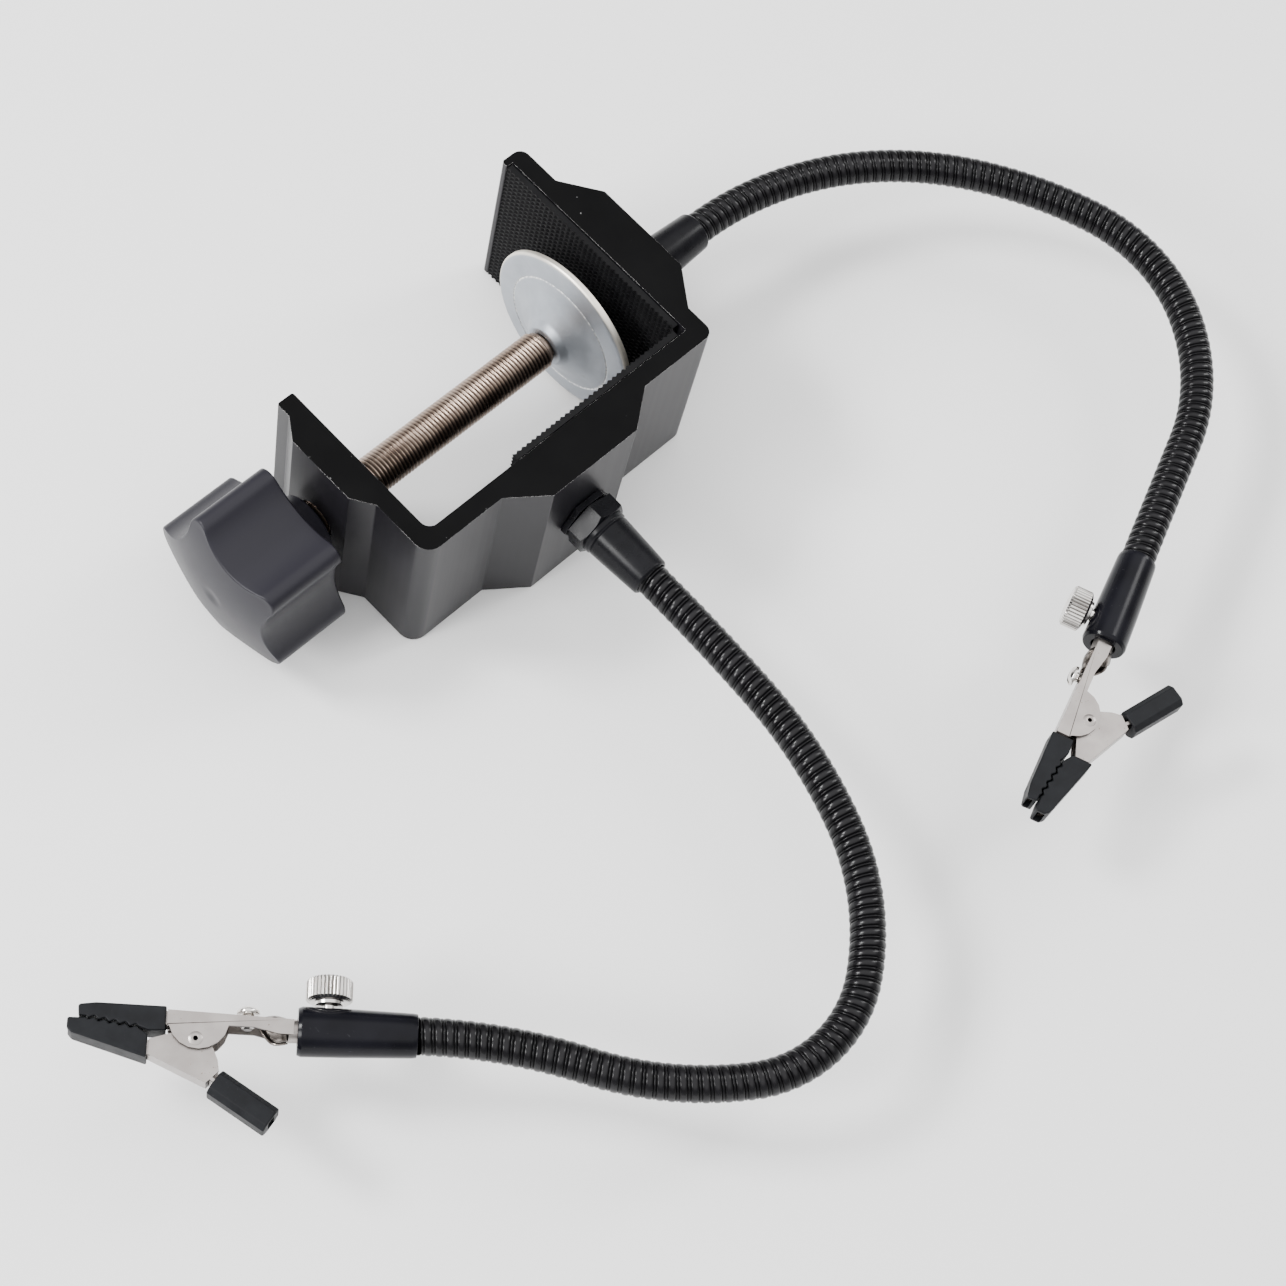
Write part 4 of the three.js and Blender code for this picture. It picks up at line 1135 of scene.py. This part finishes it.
def build_fasteners(arm, place, x, y):
    """The hollow rivet at the pivot, and the slotted binding screw on the tail."""
    across = place @ Matrix.Translation((x, y, 0)) @ Matrix.Rotation(math.radians(-90), 4, "Y")
    half = RIVET_HALF
    eyelet = eased([
        (half - 1.4, 0.42), (half, 0.44), (half + 0.2, 0.55, 0.06), (half + 0.22, 0.95, 0.2),
        (half + 0.06, 1.5, 0.1), (half - 0.1, 1.55), (half - 0.1, 1.1),
    ])
    profile = [(half - 1.4, 0), *eyelet]
    profile = profile + [(-px, r) for px, r in reversed(profile)]

    # painted shade in the rivet's hole
    def in_hole(px, r):
        return float(r < RIVET_HOLE)

    rivet = revolved(f"{arm}_clip_rivet_look", profile, across, CLIP_STEEL, sides=40, dark=in_hole)
    carry(rivet, f"{arm}_clip", "bright_nickel", f"{arm}_clip_rivet")

    web = SCREW_WEB
    head_place = place @ Matrix.Translation((x - 10.6, -0.6, 0)) @ Matrix.Rotation(math.radians(90), 4, "Z")
    shank = [(web - 3.4, 0), (web - 3.4, 0.9)]
    for k in range(SHANK_RIDGES):
        shank += [(web - 3.3 + 0.5 * k, 1.0), (web - 3.05 + 0.5 * k, 1.35)]
    head = eased([
        (web, 1.2), (web, 2.45, 0.15), (web + 0.7, 2.45, 0.5), (web + 1.45, 1.6, 1.0), (web + 1.6, 0),
    ], steps=4)

    # painted shade under the binding screw's head
    def under_head(px, r):
        return float(px < web and r < 1.1)

    name = f"{arm}_clip_binding_screw_look"
    screw = revolved(name, shank + head, head_place, NICKEL, sides=40, dark=under_head)
    slot = [(web + 0.8, -3), (web + 3, -3), (web + 3, 3), (web + 0.8, 3)]
    cut(screw, prism("slot", slot, 0.35, 0.05, head_place, NICKEL))
    carry(screw, f"{arm}_clip", "bright_nickel", f"{arm}_clip_binding_screw")


def build_clip(arm):
    along, outward = axis(f"{arm}_clip_swivel"), axis(f"{arm}_thumbscrew_turn")
    place = local(pivot(f"{arm}_clip_swivel") + along * SLEEVE_LENGTH * MM, along, outward)
    rivet = place.inverted() @ pivot(f"{arm}_clip_jaw")
    for jaw, body in (("upper_jaw", f"{arm}_clip"), ("lower_jaw", f"{arm}_clip_lower")):
        node = f"{arm}_clip_{jaw}"
        carry(from_cad(node, CLIP_STEEL, JAW_EASE, rim=CLIP_RIM, sheet=SHEET), body, "clip_steel", node)
    build_boots(arm, place, rivet.x, rivet.y)
    build_grip(arm, place, rivet.x, rivet.y)
    build_crimp(arm, place)
    build_spring(arm, place, rivet.x, rivet.y)
    build_fasteners(arm, place, rivet.x, rivet.y)


def build_arm(arm, direction):
    """One arm, in a direction from the boss's face, which lies just before the lock nut."""
    low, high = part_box(f"{arm}_lock_nut")
    nut_half = abs((high - low).dot(direction)) / 2
    boss = middle(f"{arm}_lock_nut") - direction * (nut_half + NUT_START * MM)
    build_base(arm, local(boss, direction, UP.cross(direction)))
    path = build_hose(arm, boss + direction * FITTING_LENGTH * MM, direction.copy())
    outward = UP.cross(path.end_direction)
    build_sleeve(arm, local(pivot(f"{arm}_clip_swivel"), path.end_direction, outward))
    build_thumbscrew(arm)
    build_clip(arm)


# ---- stage, lights and camera ----
FLOOR_GAP = 0.0005  # under the part, in metres
LIT_PLACE = Vector((0, -0.05, 0))
SKY_STRENGTH = 2.2
SKY_BANDS = ((0.15, 0.4), (0.3, 0.2), (0.55, 0.26))  # (height, brightness) of the darker wall
LENS = 78.4  # this and the next three put the part where the photo has it
CAMERA_PLACE = Vector((-0.2619, -0.1761, 0.5964))
CAMERA_RIGHT = Vector((0.708, -0.691, 0.147))
CAMERA_UP = Vector((0.589, 0.692, 0.417))


def build_stage():
    floor_material = Nodes("studio_floor")
    speck = floor_material.noise(40)
    colour = floor_material.mixed(speck, (0.9, 0.9, 0.9), (0.93, 0.93, 0.93))
    floor_material.shaded(colour, 0.9, specular=0.1)
    bpy.ops.mesh.primitive_plane_add(size=6, location=(0, 0, cad_box[0].z - FLOOR_GAP))
    floor = bpy.context.object
    floor.name = "floor"
    floor.data.materials.append(floor_material.material)


def area_light(name, location, size, power):
    """A softbox turned towards the middle of the part."""
    light = bpy.data.lights.new(name, "AREA")
    light.shape = "RECTANGLE"
    light.size, light.size_y = size
    light.energy = power
    obj = bpy.data.objects.new(name, light)
    obj.location = location
    obj.rotation_euler = (LIT_PLACE - Vector(location)).to_track_quat("-Z", "Y").to_euler()
    bpy.context.scene.collection.objects.link(obj)


def build_lights():
    """A bright ceiling over a darker band of wall, with three softboxes."""
    world = bpy.data.worlds.new("studio")
    bpy.context.scene.world = world
    world.use_nodes = True
    nodes, link = world.node_tree.nodes, world.node_tree.links.new
    split = nodes.new("ShaderNodeSeparateXYZ")
    link(nodes.new("ShaderNodeTexCoord").outputs["Generated"], split.inputs["Vector"])
    ramp = nodes.new("ShaderNodeValToRGB")
    link(split.outputs["Z"], ramp.inputs["Fac"])
    stops = ramp.color_ramp.elements
    stops[0].position, stops[0].color = 0.0, (0.5, 0.5, 0.5, 1)
    stops[1].position, stops[1].color = 0.8, (1, 1, 1, 1)
    for height, level in SKY_BANDS:
        stops.new(height).color = (level, level, level, 1)
    link(ramp.outputs["Color"], nodes["Background"].inputs["Color"])
    nodes["Background"].inputs["Strength"].default_value = SKY_STRENGTH
    area_light("key", (-0.7, 0.9, 1.1), size=(0.4, 0.3), power=22)
    area_light("fill", (-1.15, 0.3, 0.8), size=(0.45, 0.45), power=16)
    area_light("side", (1.1, -0.3, 0.8), size=(0.3, 0.8), power=8)


def build_camera():
    camera = bpy.data.cameras.new("camera")
    camera.sensor_width = 36
    camera.lens = LENS
    camera.clip_start, camera.clip_end = 0.01, 20
    obj = bpy.data.objects.new("camera", camera)
    back = CAMERA_RIGHT.cross(CAMERA_UP).normalized()
    up = back.cross(CAMERA_RIGHT).normalized()
    rotation = Matrix((CAMERA_RIGHT.normalized(), up, back)).transposed().to_4x4()
    obj.matrix_world = Matrix.Translation(CAMERA_PLACE) @ rotation
    bpy.context.scene.collection.objects.link(obj)
    bpy.context.scene.camera = obj


build_camera()
build_lights()
build_stage()
build_frame()
build_pads()
build_disc()
build_screw()
build_knob()
build_arm("arm_a", -AHEAD)
build_arm("arm_b", RIGHT)
